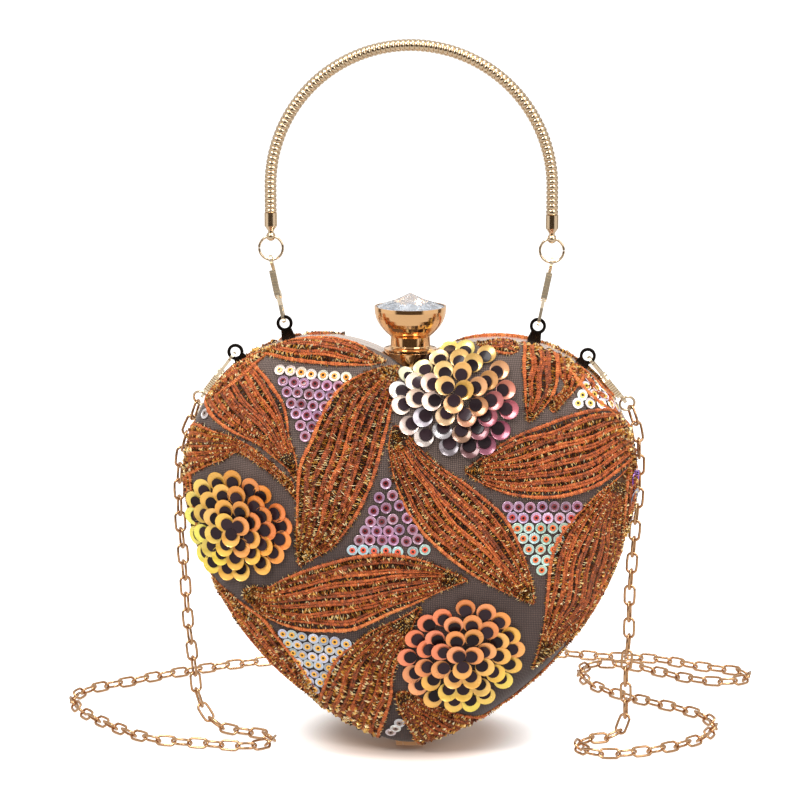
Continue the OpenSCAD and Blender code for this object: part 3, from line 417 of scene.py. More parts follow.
# The dome's surface as a flat sheet: lengths from its pole, and a way back up to the curved cloth
class Dome:
    """The front cover's outer surface, addressed by flat places measured from its pole."""

    def __init__(self):
        h = HEART
        self.lobe_x = h["width"] / 2 - h["lobe_r"]
        gap = h["flank_r"] - h["lobe_r"]
        self.flank_x = self.lobe_x - gap * math.cos(h["flank_turn"])
        self.tip_cz = h["tip_z"] + h["tip_r"]
        self.flank_z = self.tip_cz + math.sqrt((h["flank_r"] - h["tip_r"]) ** 2 - self.flank_x ** 2)
        self.lobe_z = self.flank_z - gap * math.sin(h["flank_turn"])
        self.pole = np.array([0.0, self.lobe_z * POLE_SHARE])
        self.meridians()

    def outline(self, inset, per_arc=(96, 72, 24)):
        h = HEART
        notch = math.acos(-self.lobe_x / (h["lobe_r"] - inset))
        tip_turn = math.atan2(self.flank_z - self.tip_cz, -self.flank_x)
        arcs = [
            (self.lobe_x, self.lobe_z, h["lobe_r"], notch, -h["flank_turn"], per_arc[0]),
            (self.flank_x, self.flank_z, h["flank_r"], -h["flank_turn"], -tip_turn, per_arc[1]),
            (0.0, self.tip_cz, h["tip_r"], -tip_turn, -math.pi / 2, per_arc[2]),
        ]
        right = []
        for cx, cz, r, a0, a1, n in arcs:
            for i in range(n):
                a = a0 + (a1 - a0) * i / n
                right.append((cx + (r - inset) * math.cos(a), cz + (r - inset) * math.sin(a)))
        right.append((0.0, h["tip_z"] + inset))
        left = [(-x, z) for x, z in right[-2:0:-1]]
        return np.array(right + left)

    def meridians(self, steps=64):
        h = HEART
        rim = self.outline(h["step"])
        v = rim - self.pole
        a = np.arctan2(v[:, 1], v[:, 0])
        order = np.argsort(a)
        self.angles, v = a[order], v[order]
        e = np.stack([(h["width"] / 2 * ELLIPSE_SHARES[0] - h["step"]) * np.cos(self.angles),
                      (self.lobe_z * ELLIPSE_SHARES[1] - h["step"]) * np.sin(self.angles)], axis=1)
        t = np.linspace(math.pi / 2, 0, 400)
        reach = np.cos(t) ** (2 / DOME_POWER)
        reach[0] = 0
        rise = np.sin(t) ** (2 / DOME_POWER)
        m = (1 - reach ** BLEND_POWER)[None, :, None]
        flat = reach[None, :, None] * (v[:, None, :] * (1 - m) + e[:, None, :] * m) + self.pole
        depth = -(h["rim_y"] + h["height"] * rise)
        line = np.stack([flat[..., 0], np.broadcast_to(depth, flat.shape[:2]), flat[..., 1]], axis=-1)
        s = np.array([lengths(row) for row in line])
        self.length = s[:, -1]
        self.steps = steps
        share = np.linspace(0, 1, steps + 1)
        self.table = np.stack([look_up(share * s[i, -1], s[i], line[i]) for i in range(len(v))])
        along = np.gradient(self.table, axis=1)
        round_ = np.roll(self.table, -1, axis=0) - np.roll(self.table, 1, axis=0)
        normal = np.cross(along, round_)
        normal[:, 0] = (0, -1, 0)
        normal = unit(normal)
        flip = (normal * (self.table - np.array([0, 0, self.pole[1]]))).sum(-1, keepdims=True) < 0
        self.normal = np.where(flip, -normal, normal)

    def spot(self, uv):
        """Row and column in the table, as fractions, of flat places."""
        uv = np.atleast_2d(uv)
        a = np.arctan2(uv[:, 1], uv[:, 0])
        n = len(self.angles)
        full_turn = 2 * math.pi
        grow = np.concatenate([[self.angles[-1] - full_turn], self.angles, [self.angles[0] + full_turn]])
        i = np.interp(a, grow, np.arange(-1, n + 1))
        long_ = np.concatenate([[self.length[-1]], self.length, [self.length[0]]])
        reach = np.hypot(uv[:, 0], uv[:, 1]) / np.interp(a, grow, long_)
        return i, reach

    def lift(self, uv, height=0.0):
        """Points and normals on the cloth, or above it, for flat places."""
        i, reach = self.spot(uv)
        n = len(self.angles)
        j = np.clip(reach, 0, 1) * self.steps
        i0, j0 = np.floor(i).astype(int), np.minimum(np.floor(j).astype(int), self.steps - 1)
        fi, fj = (i - i0)[:, None], (j - j0)[:, None]

        def between(rows):
            near = rows[i0 % n, j0] * (1 - fi) + rows[(i0 + 1) % n, j0] * fi
            far = rows[i0 % n, j0 + 1] * (1 - fi) + rows[(i0 + 1) % n, j0 + 1] * fi
            return near * (1 - fj) + far * fj

        normal = unit(between(self.normal))
        return between(self.table) + normal * np.reshape(height, (-1, 1)), normal

    def point(self, uv, height=0.0):
        """One point on the cloth, or above it, with its normal."""
        return (rows[0] for rows in self.lift(uv, height))

    def under_pixels(self, pixels):
        """Flat places of the cloth that the camera sees at these pixels, or the nearest that it sees."""
        n = len(self.angles)
        seen = ((np.array(CAMERA_PLACE) - self.table) * self.normal).sum(-1) > 0
        shot = picture_of(self.table.reshape(-1, 3)).reshape(n, -1, 2)
        places = []
        for pixel in pixels:
            off = np.where(seen, np.linalg.norm(shot - np.array(pixel), axis=-1), 1e9)
            i, j = np.unravel_index(np.argmin(off), off.shape)
            s = self.length[i] * j / self.steps
            uv = s * np.array([math.cos(self.angles[i]), math.sin(self.angles[i])])
            for _ in range(4):
                if off[i, j] > 4:
                    break
                step = 0.0002
                base = picture_of(self.lift(uv)[0])[0]
                du = (picture_of(self.lift(uv + np.array([step, 0]))[0])[0] - base) / step
                dv = (picture_of(self.lift(uv + np.array([0, step]))[0])[0] - base) / step
                move = np.linalg.lstsq(np.stack([du, dv], axis=1), np.array(pixel) - base, rcond=1e-3)[0]
                uv = uv + np.clip(move, -0.003, 0.003)
            places.append(uv)
        return np.array(places)


def picture_of(points):
    """Pixels at which the camera sees points."""
    yaw, pitch = CAMERA_YAW, CAMERA_PITCH
    ahead = np.array([-math.sin(yaw) * math.cos(pitch), math.cos(yaw) * math.cos(pitch), -math.sin(pitch)])
    right = np.array([math.cos(yaw), math.sin(yaw), 0.0])
    up = np.cross(right, ahead)
    d = np.asarray(points) - np.array(CAMERA_PLACE)
    depth = d @ ahead
    return np.stack([PICTURE / 2 + CAMERA_FOCUS * (d @ right) / depth,
                     PICTURE / 2 - CAMERA_FOCUS * (d @ up) / depth], axis=-1)


DOME = Dome()
RNG = np.random.default_rng(11)


# Many small copies of one modelled piece, as one mesh
class Pile:
    """Gathers corners, faces, a map, tones and tints, and makes one piece of them."""

    def __init__(self):
        self.verts, self.faces, self.uv, self.shade, self.tint, self.count = [], [], [], [], [], 0

    def add(self, verts, faces, uv=None, shade=0.5, tint=(1, 1, 1)):
        n = len(verts)
        self.verts.append(verts)
        groups = faces if isinstance(faces, list) else [faces]
        self.faces.extend(np.asarray(group) + self.count for group in groups)
        self.uv.append(np.zeros((n, 2)) if uv is None else uv)
        self.shade.append(np.broadcast_to(np.asarray(shade, float), (n,)))
        self.tint.append(np.broadcast_to(np.asarray(tint, float), (n, 3)))
        self.count += n

    def piece(self, name):
        return mesh_piece(name, np.vstack(self.verts), self.faces, np.vstack(self.uv),
                          {"shade": np.concatenate(self.shade)}, {"tint": np.vstack(self.tint)})


def cord_strand(pile, uv, width, height, tone):
    """One raised cord along flat places, pinched a little at uneven steps as sewn cord is."""
    p, n = DOME.lift(uv)
    t = unit(np.gradient(p, axis=0))
    across = np.cross(t, n)
    sides = 6
    turn = np.arange(sides) * 2 * math.pi / sides + math.pi / 6
    pinch = 1 + 0.20 * RNG.standard_normal(len(uv)).clip(-1.5, 1.5)
    ends = np.minimum(1, np.minimum(np.arange(len(uv)) + 0.6, np.arange(len(uv))[::-1] + 0.6) / 2.0)
    w = (width * pinch * ends)[:, None, None] / 2
    h = (height * (0.75 + 0.25 * pinch) * ends)[:, None, None] / 2
    ring = (p[:, None] + across[:, None] * np.cos(turn)[None, :, None] * w
            + n[:, None] * (np.sin(turn)[None, :, None] * h + h * 0.8))
    m = len(uv)
    uvs = np.stack(np.broadcast_arrays(lengths(p)[:, None], (turn / (2 * math.pi))[None, :]), axis=-1)
    shade = np.repeat(np.clip(tone + 0.15 * RNG.standard_normal(m), 0, 1), sides)
    pile.add(ring.reshape(-1, 3), tube_faces(m, sides), uvs.reshape(-1, 2), shade)


# No stitches here, where on the back half the strap hook's lever comes down when it is pressed
BARE_SPOT = np.array([78.4, -8.7, 144.4]) * MM
BARE_REACH = 7.5 * MM
# Tones of the stitches, from dark to bright, how many of each there are, and how they slant, in degrees; the
# darkest tone is painted shade and the brightest a painted glint
STITCH_TONES = [0.05, 0.32, 0.62, 0.92]
STITCH_SHARES = [0.20, 0.28, 0.26, 0.26]
STITCH_SLANT = 20


def stitches(pile, places, ahead, length, height, thick):
    """Short arched threads laid across flat places, each with its own slant, lift and tone."""
    count = len(places)
    if not count:
        return
    p, n = DOME.lift(places)
    q, _ = DOME.lift(places + ahead * 0.0005)
    t = unit(q - p)
    across = np.cross(t, n)
    to_and_fro = np.where(np.arange(count) % 2, 1, -1)
    turn = np.radians(STITCH_SLANT * to_and_fro + 12 * RNG.standard_normal(count))[:, None]
    line = across * np.cos(turn) + t * np.sin(turn)
    side = np.cross(n, line)
    half = (np.asarray(length) / 2 * RNG.uniform(0.75, 1.25, count))[:, None]
    rise = (height * RNG.uniform(0.7, 1.35, count))[:, None]
    off = (RNG.standard_normal(count) * 0.1)[:, None] * half
    thick = (thick * RNG.uniform(0.7, 1.2, count))[:, None] / 2
    mid = p + line * off
    belly = mid + n * rise * 0.55
    corners = np.stack([
        p - line * half + n * rise * RNG.uniform(0.1, 0.7, count)[:, None],
        mid + n * (rise + thick), belly + side * thick, belly - side * thick,
        p + line * half + n * rise * RNG.uniform(0.1, 0.7, count)[:, None]], axis=1)
    base = np.array([[0, 1, 2], [0, 2, 3], [0, 3, 1], [4, 2, 1], [4, 3, 2], [4, 1, 3]])
    tone = RNG.choice(STITCH_TONES, count, p=STITCH_SHARES) + RNG.normal(0, 0.06, count)
    tone = np.clip(tone, 0, 1)
    clear = np.linalg.norm(p - BARE_SPOT, axis=1) > BARE_REACH
    faces = (base[None] + 5 * np.arange(clear.sum())[:, None, None]).reshape(-1, 3)
    if clear.any():
        pile.add(corners[clear].reshape(-1, 3), faces, None, np.repeat(tone[clear], 5))


# Name, over the rim at start and at end, share of gold, and both edges as pixels, across and down in turn
LEAVES = [
    ("over the left lobe", 0, 0, 0.6,
     [247, 358, 266, 347, 287, 340, 310, 337, 333, 338, 356, 345, 371, 353, 386, 362],
     [247, 358, 264, 354, 287, 359, 318, 363, 348, 365, 371, 365, 386, 362]),
    ("left shoulder", 1, 0, 0.5,
     [232, 366, 217, 380, 209, 396, 210, 411, 222, 424, 240, 435, 257, 443, 274, 457, 288, 469, 297, 483],
     [241, 359, 252, 364, 264, 376, 275, 391, 283, 404, 287, 420, 289, 437, 294, 452, 297, 467, 298, 483]),
    ("left middle", 0, 0, 1.0,
     [395, 367, 364, 374, 342, 387, 325, 411, 312, 441, 301, 466, 298, 500, 297, 540, 299, 566],
     [397, 367, 395, 391, 390, 412, 384, 437, 371, 483, 350, 524, 330, 548, 299, 566]),
    ("left edge", 1, 0, 0.9,
     [186, 424, 198, 425, 212, 431, 231, 437, 249, 446, 266, 459, 280, 471, 294, 484],
     [184, 478, 197, 470, 212, 463, 224, 459, 238, 452, 256, 462, 275, 476, 288, 489, 296, 499]),
    ("centre", 0, 0, 0.8,
     [392, 428, 389, 445, 391, 460, 394, 476, 401, 495, 410, 514, 420, 528, 436, 545, 455, 561, 478, 577,
      506, 592, 534, 604],
     [392, 426, 402, 428, 416, 445, 440, 467, 464, 483, 484, 499, 500, 513, 513, 532, 523, 556, 531, 580,
      534, 604]),
    ("right middle", 0, 1, 0.5,
     [465, 470, 480, 459, 496, 448, 520, 435, 544, 426, 568, 417, 592, 411, 615, 411, 630, 420],
     [465, 472, 488, 486, 512, 494, 536, 497, 560, 496, 583, 490, 600, 483, 616, 471, 634, 452]),
    ("right flank", 1, 0, 0.5,
     [626, 470, 612, 483, 599, 493, 583, 509, 571, 522, 559, 538, 551, 560, 548, 590, 543, 632, 532, 668],
     [626, 478, 624, 505, 622, 530, 618, 556, 608, 584, 592, 610, 572, 634, 552, 652, 532, 668]),
    ("right lobe", 1, 0, 0.6,
     [523, 343, 524, 362, 525, 386, 526, 406, 528, 422],
     [556, 346, 557, 368, 555, 388, 547, 403, 538, 414, 528, 422]),
    ("right lobe side", 1, 0, 0.7,
     [557, 348, 558, 362, 561, 377, 566, 383, 560, 393, 550, 400],
     [580, 365, 582, 379, 575, 389, 565, 400, 553, 412, 550, 404]),
    ("over the right lobe", 0, 0, 0.5,
     [476, 344, 489, 342, 503, 339, 515, 343, 519, 350],
     [476, 345, 496, 352, 510, 354, 519, 351]),
    ("lower left", 0, 0, 1.0,
     [243, 593, 252, 587, 267, 588, 283, 580, 305, 571, 328, 564, 351, 558, 374, 555, 397, 555, 420, 560,
      444, 569, 468, 580],
     [243, 595, 262, 613, 282, 623, 305, 629, 328, 630, 351, 629, 370, 622, 389, 613, 412, 604, 438, 592,
      468, 580]),
    ("left keel", 1, 1, 0.7,
     [190, 540, 197, 557, 211, 575, 228, 591, 246, 606, 263, 618, 277, 636, 294, 657, 309, 678, 321, 697],
     [188, 544, 196, 566, 208, 588, 220, 606, 238, 627, 256, 650, 276, 672, 296, 690, 314, 704]),
    ("bottom", 0, 1, 0.9,
     [421, 606, 397, 620, 374, 630, 356, 643, 340, 656, 331, 670, 325, 686, 321, 704],
     [421, 608, 412, 627, 404, 645, 397, 660, 392, 676, 391, 694, 387, 710, 380, 728]),
    ("tip", 0, 1, 0.8,
     [396, 692, 398, 704, 404, 718, 412, 730],
     [396, 692, 408, 692, 424, 700, 452, 712, 490, 712]),
    ("right keel", 0, 0, 0.6,
     [488, 716, 510, 700, 530, 684, 548, 664, 566, 644],
     [492, 722, 516, 706, 538, 688, 556, 668, 572, 648]),
]
# Leaves past the silhouette: the turns at which they start and end, and their share of the way to the rim
RIM_LEAVES = [
    (158, 190, 0.955), (196, 216, 0.955), (322, 352, 0.955),
    (356, 20, 0.955), (28, 48, 0.96), (128, 150, 0.96),
]
RIM_LEAF_WIDE = 0.05
RIM_LEAF_GOLD = 0.7

# Length of one step along a sewn line
SEW_STEP = 0.8 * MM
# Cords on a leaf's edges and inside it: share of the room, widest, and the tones between which they lie
EDGE_CORD = (0.46, 1.5 * MM, 0.48, 0.74)
INNER_CORD = (0.36, 1.25 * MM, 0.22, 0.54)
CORD_LEAST = 0.65 * MM
CORD_APART = 0.60 * MM
# Least room in which an inner cord or a row of stitches is sewn
CORD_ROOM, STITCH_ROOM, TIP_ROOM = 0.85 * MM, 0.5 * MM, 0.2 * MM
# From one stitch or loose fibre to the next, and the longest room that a stitch fills
STITCH_PITCH, FRINGE_PITCH, FIBRE_PITCH = 0.46 * MM, 0.50 * MM, 0.9 * MM
STITCH_LONGEST = 3.6 * MM


def over_rim(line):
    """Carries a flat line on in its last direction until it reaches the rim."""
    last, step = line[-1], line[-1] - line[-2]
    step = step / max(np.linalg.norm(step), 1e-9) * 0.002
    outward = last / np.linalg.norm(last) * 0.002
    more = []
    for _ in range(30):
        if DOME.spot(last)[1][0] > 0.985:
            break
        last = last + step * 0.6 + outward * 0.4
        more.append(last)
    return np.vstack([line] + more) if more else line


def leaf_lines(left, right, start_over, end_over, count=110):
    a, b = (DOME.under_pixels(np.reshape(edge, (-1, 2))) for edge in (left, right))
    if end_over:
        a, b = over_rim(a), over_rim(b)
    if start_over:
        a, b = over_rim(a[::-1])[::-1], over_rim(b[::-1])[::-1]
    return smooth_line(a, count), smooth_line(b, count)


def sew_leaf(cords, threads, fringe, a, b, gold, band=3.4 * MM):
    """Fills a leaf between two flat edges: a dark sheet of painted shade, rows of rust cord, and gold
    stitches between them.
    """
    gap = np.linalg.norm(a - b, axis=1)
    rows = max(2, int(round(gap.max() / band)))
    spacing = gap / rows
    steps = np.linspace(0, 1, rows * 2 + 1)
    # A dark sheet just over the cloth under the cords, in tones below the cord's own: painted shade between
    # the cords
    painted_shade_sheet = np.stack([a + (b - a) * (0.06 + 0.88 * share) for share in steps], axis=1)
    n, m = painted_shade_sheet.shape[:2]
    p, _ = DOME.lift(painted_shade_sheet.reshape(-1, 2), 0.22 * MM)
    i, j = np.meshgrid(np.arange(n - 1), np.arange(m - 1), indexing="ij")
    k = (i * m + j).ravel()
    cords.add(p, np.stack([k, k + 1, k + m + 1, k + m], axis=1), painted_shade_sheet.reshape(-1, 2) * 3,
              RNG.uniform(-0.35, -0.02, n * m))
    for k in range(rows + 1):
        edge = k in (0, rows)
        wave = 0.2 * np.sin(np.linspace(0, RNG.uniform(8, 18), len(a)) + RNG.uniform(0, 6))
        share = np.clip(k / rows + (0 if edge else 1) * wave / rows, 0, 1)[:, None]
        line = a + (b - a) * share
        keep = np.arange(len(a)) if edge else np.flatnonzero(spacing > CORD_ROOM)
        if len(keep) < 5:
            continue
        if not edge:
            trim = int(RNG.integers(0, 3))
            keep = keep[trim:len(keep) - trim]
        kept = slice(keep[0], keep[-1] + 1)
        path, room, _, long_ = even_steps(line[kept], spacing[kept])
        side = np.gradient(path, axis=0)
        side = unit(np.stack([-side[:, 1], side[:, 0]], axis=1))
        part, widest, dark, bright = EDGE_CORD if edge else INNER_CORD
        tone = RNG.uniform(dark, bright)
        width = np.clip(room * part, CORD_LEAST, widest)
        for way in ((0,) if edge else (-1, 1)):
            drift = side * (way * np.minimum(room * 0.18, CORD_APART))[:, None]
            cord_strand(cords, path + drift, width, width * 0.95, tone + RNG.uniform(-0.08, 0.16))
        hairs(cords, path, room * 0.3, int(long_ / FIBRE_PITCH))
    for k in range(rows):
        much = min(1, gold * RNG.choice([0.3, 0.9, 1.1, 1.4]))
        sew_row(threads, a + (b - a) * ((k + 0.5) / rows), spacing, STITCH_ROOM, much)
    for tip in (slice(0, 14), slice(-14, None)):
        sew_row(threads, ((a + b) / 2)[tip], gap[tip] * 0.9, TIP_ROOM, 1.0)
    for line, inward in ((a, b - a), (b, a - b)):
        path, room, fine, long_ = even_steps(line, spacing)
        n = int(long_ * (0.5 + gold * 0.5) / FRINGE_PITCH)
        at = np.sort(RNG.uniform(0, 1, n))
        places, ahead = along(path, fine, at)
        share = np.linspace(0, 1, len(line))
        inside = np.stack([np.interp(at, share, inward[:, c]) for c in (0, 1)], axis=1)
        places = places - unit(inside) * RNG.uniform(-0.2, 0.8, n)[:, None] * MM
        stitches(fringe, places, ahead, np.full(n, 2.1 * MM), height=0.8 * MM, thick=0.30 * MM)


def sew_row(threads, line, spacing, least, gold):
    """One row of gold stitches laid across a flat line, as long as the room beside it."""
    keep = np.flatnonzero(spacing > least)
    if len(keep) < 4:
        return
    kept = slice(keep[0], keep[-1] + 1)
    path, room, fine, long_ = even_steps(line[kept], spacing[kept])
    n = int(long_ * (0.3 + 0.7 * gold) / STITCH_PITCH)
    at = np.clip((np.arange(n) + RNG.uniform(-0.45, 0.45, n)) / max(n, 1), 0, 1)
    places, ahead = along(path, fine, at)
    room = np.minimum(np.interp(at, fine, room), STITCH_LONGEST)
    aside = np.stack([-ahead[:, 1], ahead[:, 0]], axis=1)
    places = places + aside * (RNG.normal(0, 0.10, n) * room)[:, None]
    long_, height = room * (0.58 + 0.25 * gold), (0.90 + 0.4 * gold) * MM
    stitches(threads, places, ahead, long_, height=height, thick=0.50 * MM)


def even_steps(line, room):
    """The same flat line in equal steps, with the room beside it, the steps' shares and the whole length."""
    s = lengths(line)
    fine = np.linspace(0, 1, max(6, int(s[-1] / SEW_STEP)))
    share = s / s[-1]
    return look_up(fine, share, line), np.interp(fine, share, room), fine, s[-1]


def along(path, fine, at):
    """Places on a flat line, and its direction there."""
    way = np.stack([np.gradient(path[:, c]) for c in (0, 1)], axis=1)
    return look_up(at, fine, path), unit(look_up(at, fine, way))


def hairs(pile, path, reach, count):
    """Loose rust fibres that stand out of a cord in all directions."""
    if count < 1:
        return
    fine = np.linspace(0, 1, len(path))
    at = RNG.uniform(0.01, 0.99, count)
    places, _ = along(path, fine, at)
    places = places + RNG.normal(0, 0.45, (count, 2)) * np.interp(at, fine, reach)[:, None]
    p, n = DOME.lift(places)
    way = unit(RNG.normal(0, 1, (count, 3)) + n * 0.5)
    side = unit(np.cross(way, n + RNG.normal(0, 0.3, (count, 3)))) * 0.11 * MM
    foot = p + n * (RNG.uniform(0.45, 1.0, count) * MM)[:, None]
    tip = foot + way * (RNG.uniform(0.4, 1.1, count) * MM)[:, None]
    corners = np.stack([foot - side, foot + side, tip], axis=1).reshape(-1, 3)
    faces = np.arange(count * 3).reshape(-1, 3)
    pile.add(corners, faces, None, np.repeat(RNG.uniform(0.3, 1.0, count), 3))


# Sequin flowers: centre pixel, and tints at its left, middle, right, bottom and top; the first flower's
# near-white left is a painted highlight and its near-black bottom painted shade
FLOWERS = [
    ((455, 395),
     [rgb(255, 244, 230), rgb(248, 184, 96), rgb(190, 86, 104), rgb(30, 16, 40), rgb(244, 222, 112)]),
    ((235, 527),
     [rgb(246, 236, 118), rgb(255, 176, 84), rgb(250, 134, 66), rgb(255, 200, 84), rgb(250, 164, 78)]),
    ((464, 657),
     [rgb(252, 134, 102), rgb(255, 166, 94), rgb(255, 186, 86), rgb(246, 214, 100), rgb(255, 152, 90)]),
]
# The first flower sits lower on the back, so that it stays under the frame when seen from the front
BACK_MIDDLE = (452, 428)
# Radius, number of sequins and height of each ring of a flower
FLOWER_RINGS = [
    (4.0 * MM, 3, 2.6 * MM), (9.2 * MM, 8, 1.95 * MM), (14.6 * MM, 13, 1.3 * MM), (20.2 * MM, 17, 0.7 * MM),
]
# Radius, thickness, dish and sides of a petal sequin and of the black one on it, and the petal's rim
PETAL = (3.85 * MM, 0.16 * MM, 0.35 * MM, 18)
PUPIL = (2.5 * MM, 0.16 * MM, 0.22 * MM, 16)
PETAL_RIM = 0.10
# A ring sequin and its bead from the middle outwards and round underneath, as radius and height in mm
RING_PROFILE = [
    (0.0, 0.20), (0.42, 0.22), (0.56, 0.80), (1.10, 0.84), (1.32, 0.34),
    (1.66, 0.36), (2.05, 0.60), (2.18, 0.50), (1.3, 0.02),
]

# Ring sequin patches: corners in picture pixels, number of rows, and ring and bead tints of each row
# The near-black inside each bead's hole is painted shade
PAINTED_HOLE_SHADE = rgb(38, 18, 16)
MAUVE = (rgb(176, 136, 160), rgb(112, 30, 34))
CREAM = (rgb(236, 228, 210), rgb(226, 146, 44))
MINT = (rgb(180, 212, 200), rgb(234, 108, 50))
LILAC = (rgb(190, 196, 208), rgb(240, 176, 60))
PATCHES = [
    ([(280, 370), (346, 377), (306, 436)], 7, [CREAM] + [MAUVE] * 6),
    ([(352, 550), (425, 549), (386, 484)], 7, [(rgb(176, 206, 206), rgb(232, 92, 62))] + [MAUVE] * 6),
    ([(507, 507), (577, 506), (541, 570)], 7, [MAUVE, (rgb(198, 170, 196), rgb(190, 66, 56))] + [MINT] * 5),
    ([(283, 633), (347, 644), (316, 688)], 7, [LILAC] * 7),
    ([(578, 404), (616, 408), (590, 371)], 5, [(rgb(232, 226, 232), rgb(226, 196, 96))] * 5),
]
LOOSE_SEQUINS = [(206, 414), (396, 727), (400, 722), (391, 731)]
# Larger sequins seen almost edge on at the right, with their tints
SIDE_SEQUINS = [
    ((634, 478), rgb(150, 92, 206)), ((633, 497), rgb(150, 156, 176)), ((630, 517), rgb(238, 238, 242)),
]


def disc_shape(radius, thick, dish, sides, rim=0.0):
    """A thin dished disc, as corners and faces; a rim share gives it a turned-up edge."""
    clear_choice()
    bpy.ops.mesh.primitive_cylinder_add(vertices=sides, radius=radius, depth=thick, end_fill_type="NGON")
    disc = bpy.context.object
    bpy.ops.object.mode_set(mode="EDIT")
    bpy.ops.mesh.select_mode(type="FACE")
    bpy.ops.mesh.select_all(action="DESELECT")
    bpy.ops.object.mode_set(mode="OBJECT")
    for face in disc.data.polygons:
        face.select = abs(face.normal.z) > 0.9
    bpy.ops.object.mode_set(mode="EDIT")
    if rim:
        bpy.ops.mesh.inset(thickness=radius * rim, depth=0)
    bpy.ops.mesh.poke()
    bpy.ops.object.mode_set(mode="OBJECT")
    for corner in disc.data.vertices:
        share = math.hypot(corner.co.x, corner.co.y) / radius
        corner.co.z += dish * share * share + (0.12 * MM if rim and share > 0.97 else 0)
    return take_shape(disc)


def take_shape(obj):
    verts = np.array([v.co[:] for v in obj.data.vertices])
    faces = {}
    for polygon in obj.data.polygons:
        faces.setdefault(len(polygon.vertices), []).append(list(polygon.vertices))
    bpy.data.objects.remove(obj, do_unlink=True)
    return verts, [np.array(rows) for rows in faces.values()]


def ring_shape():
    """A cupped ring sequin with its bead, and which of its corners are hole, bead and ring."""
    sides = 14
    turn = np.arange(sides) * 2 * math.pi / sides
    rows = [np.stack([r * np.cos(turn), r * np.sin(turn), np.full(sides, z)], axis=1)
            for r, z in RING_PROFILE[1:]]
    verts = np.vstack([[[0, 0, RING_PROFILE[0][1]]]] + rows) * MM
    j = np.arange(sides)
    fan = np.stack([np.zeros(sides, int), 1 + j, 1 + (j + 1) % sides], axis=1)
    quads = [np.stack([1 + k * sides + j, 1 + (k + 1) * sides + j, 1 + (k + 1) * sides + (j + 1) % sides,
                       1 + k * sides + (j + 1) % sides], axis=1) for k in range(len(RING_PROFILE) - 2)]
    zone = np.array([0] + [0] * sides + [1] * sides * 2 + [2] * sides * (len(RING_PROFILE) - 4))
    return verts, [fan, np.vstack(quads)], zone


def set_down(pile, shape, centre, outward, normal, tilt, tint):
    """Sets a shape on the cloth, its x outward and its z along the normal, with its outer edge tipped up."""
    verts, faces = shape
    side = np.cross(normal, outward)
    c, s = math.cos(tilt), math.sin(tilt)
    x = outward * c + normal * s
    z = normal * c - outward * s
    pile.add(centre + verts[:, :1] * x + verts[:, 1:2] * side + verts[:, 2:3] * z, faces, tint=tint)


def sew_flower(pile, pixel, tints, petal, pupil):
    """Rings of overlapping sequins, the outer ring lowest, each with a black sequin towards the middle."""
    middle = DOME.under_pixels([pixel])[0]
    _, n0 = DOME.point(middle)
    turn0 = 0.3
    tints = np.array(tints)
    for radius, count, height in reversed(FLOWER_RINGS):
        turn0 += 0.55
        for k in range(count):
            a = turn0 + 2 * math.pi * k / count + RNG.uniform(-0.07, 0.07)
            way = np.array([math.cos(a), math.sin(a)])
            spread = radius * RNG.uniform(0.96, 1.04)
            place = middle + way * spread
            p, n = DOME.point(place, height)
            inner, _ = DOME.point(place - way * 0.001, height)
            outward = unit(p - inner)
            n = unit(n * 0.75 + n0 * 0.25 + RNG.normal(0, 0.05, 3))
            outward = unit(outward - n * (outward @ n))
            # Tints blend by place across the flower: the sequins' own colours, with the first flower's
            # painted highlight at its left and painted shade at its bottom
            x, y = way * spread / (20 * MM)
            shares = [max(0, -x), max(0.05, 1 - abs(x) - abs(y)), max(0, x), max(0, -y) * 1.4, max(0, y)]
            tint = sum(colour * share for colour, share in zip(tints, shares)) / sum(shares)
            bright = RNG.uniform(0.80, 1.14)
            change = bright * np.array([1, RNG.uniform(0.86, 1.12), RNG.uniform(0.76, 1.3)])
            tint = np.clip(tint * change, 0, 1)
            # Each petal is painted lighter towards its outer, tipped-up edge and gets a painted highlight
            # round its rim
            reach = np.hypot(petal[0][:, 0], petal[0][:, 1])[:, None] / (4 * MM)
            lean = (petal[0][:, :1] / (4 * MM) + 1) / 2
            film = tint * (0.74 + 0.36 * lean) + np.array([1, 0.97, 0.9]) * 0.30 * (reach > 0.97)
            set_down(pile[0], petal, p, outward, n, math.radians(RNG.uniform(6, 15)), np.clip(film, 0, 1))
            dark = np.array(rgb(36, 24, 28)) * RNG.uniform(0.4, 2.0)
            set_down(pile[1], pupil, p - outward * 1.35 * MM + n * 0.22 * MM, outward, n,
                     math.radians(RNG.uniform(4, 13)), dark)


def sew_patch(pile, corners, rows, tints, ring):
    """A triangle of ring sequins in rows from its long side down to its point."""
    verts, faces, zone = ring
    a, b, c = DOME.under_pixels(corners)
    for row in range(rows):
        share = row / (rows - 1) if rows > 1 else 0
        start, end = a + (c - a) * share, b + (c - b) * share
        count = rows - row
        for k in range(count):
            place = start + (end - start) * ((k / (count - 1)) if count > 1 else 0.5)
            place = place + RNG.uniform(-0.25, 0.25, 2) * MM
            p, n = DOME.point(place, 0.1 * MM)
            n = unit(n + RNG.normal(0, 0.07, 3))
            right = unit(np.cross(n, np.array([0, 0, 1.0])))
            outer, bead = (np.array(t) for t in tints[row])
            outer = np.clip(outer * RNG.uniform(0.75, 1.3) * RNG.uniform(0.92, 1.08, 3), 0, 1)
            tint = np.stack([PAINTED_HOLE_SHADE, bead, outer])[zone]
            set_down(pile, (verts, faces), p, right, n, 0.0, tint)


def settle_half(obj, name, finish, half, angle, smooth=True):
    """Settles a piece on its half, turned round first where that is the back one."""
    if half == "back":
        obj.data.transform(Matrix.Rotation(math.pi, 4, "Z"))
    return settle(obj, f"{name}_{half}", FINISHES[finish], f"{half}_half", "cover", smooth, angle)


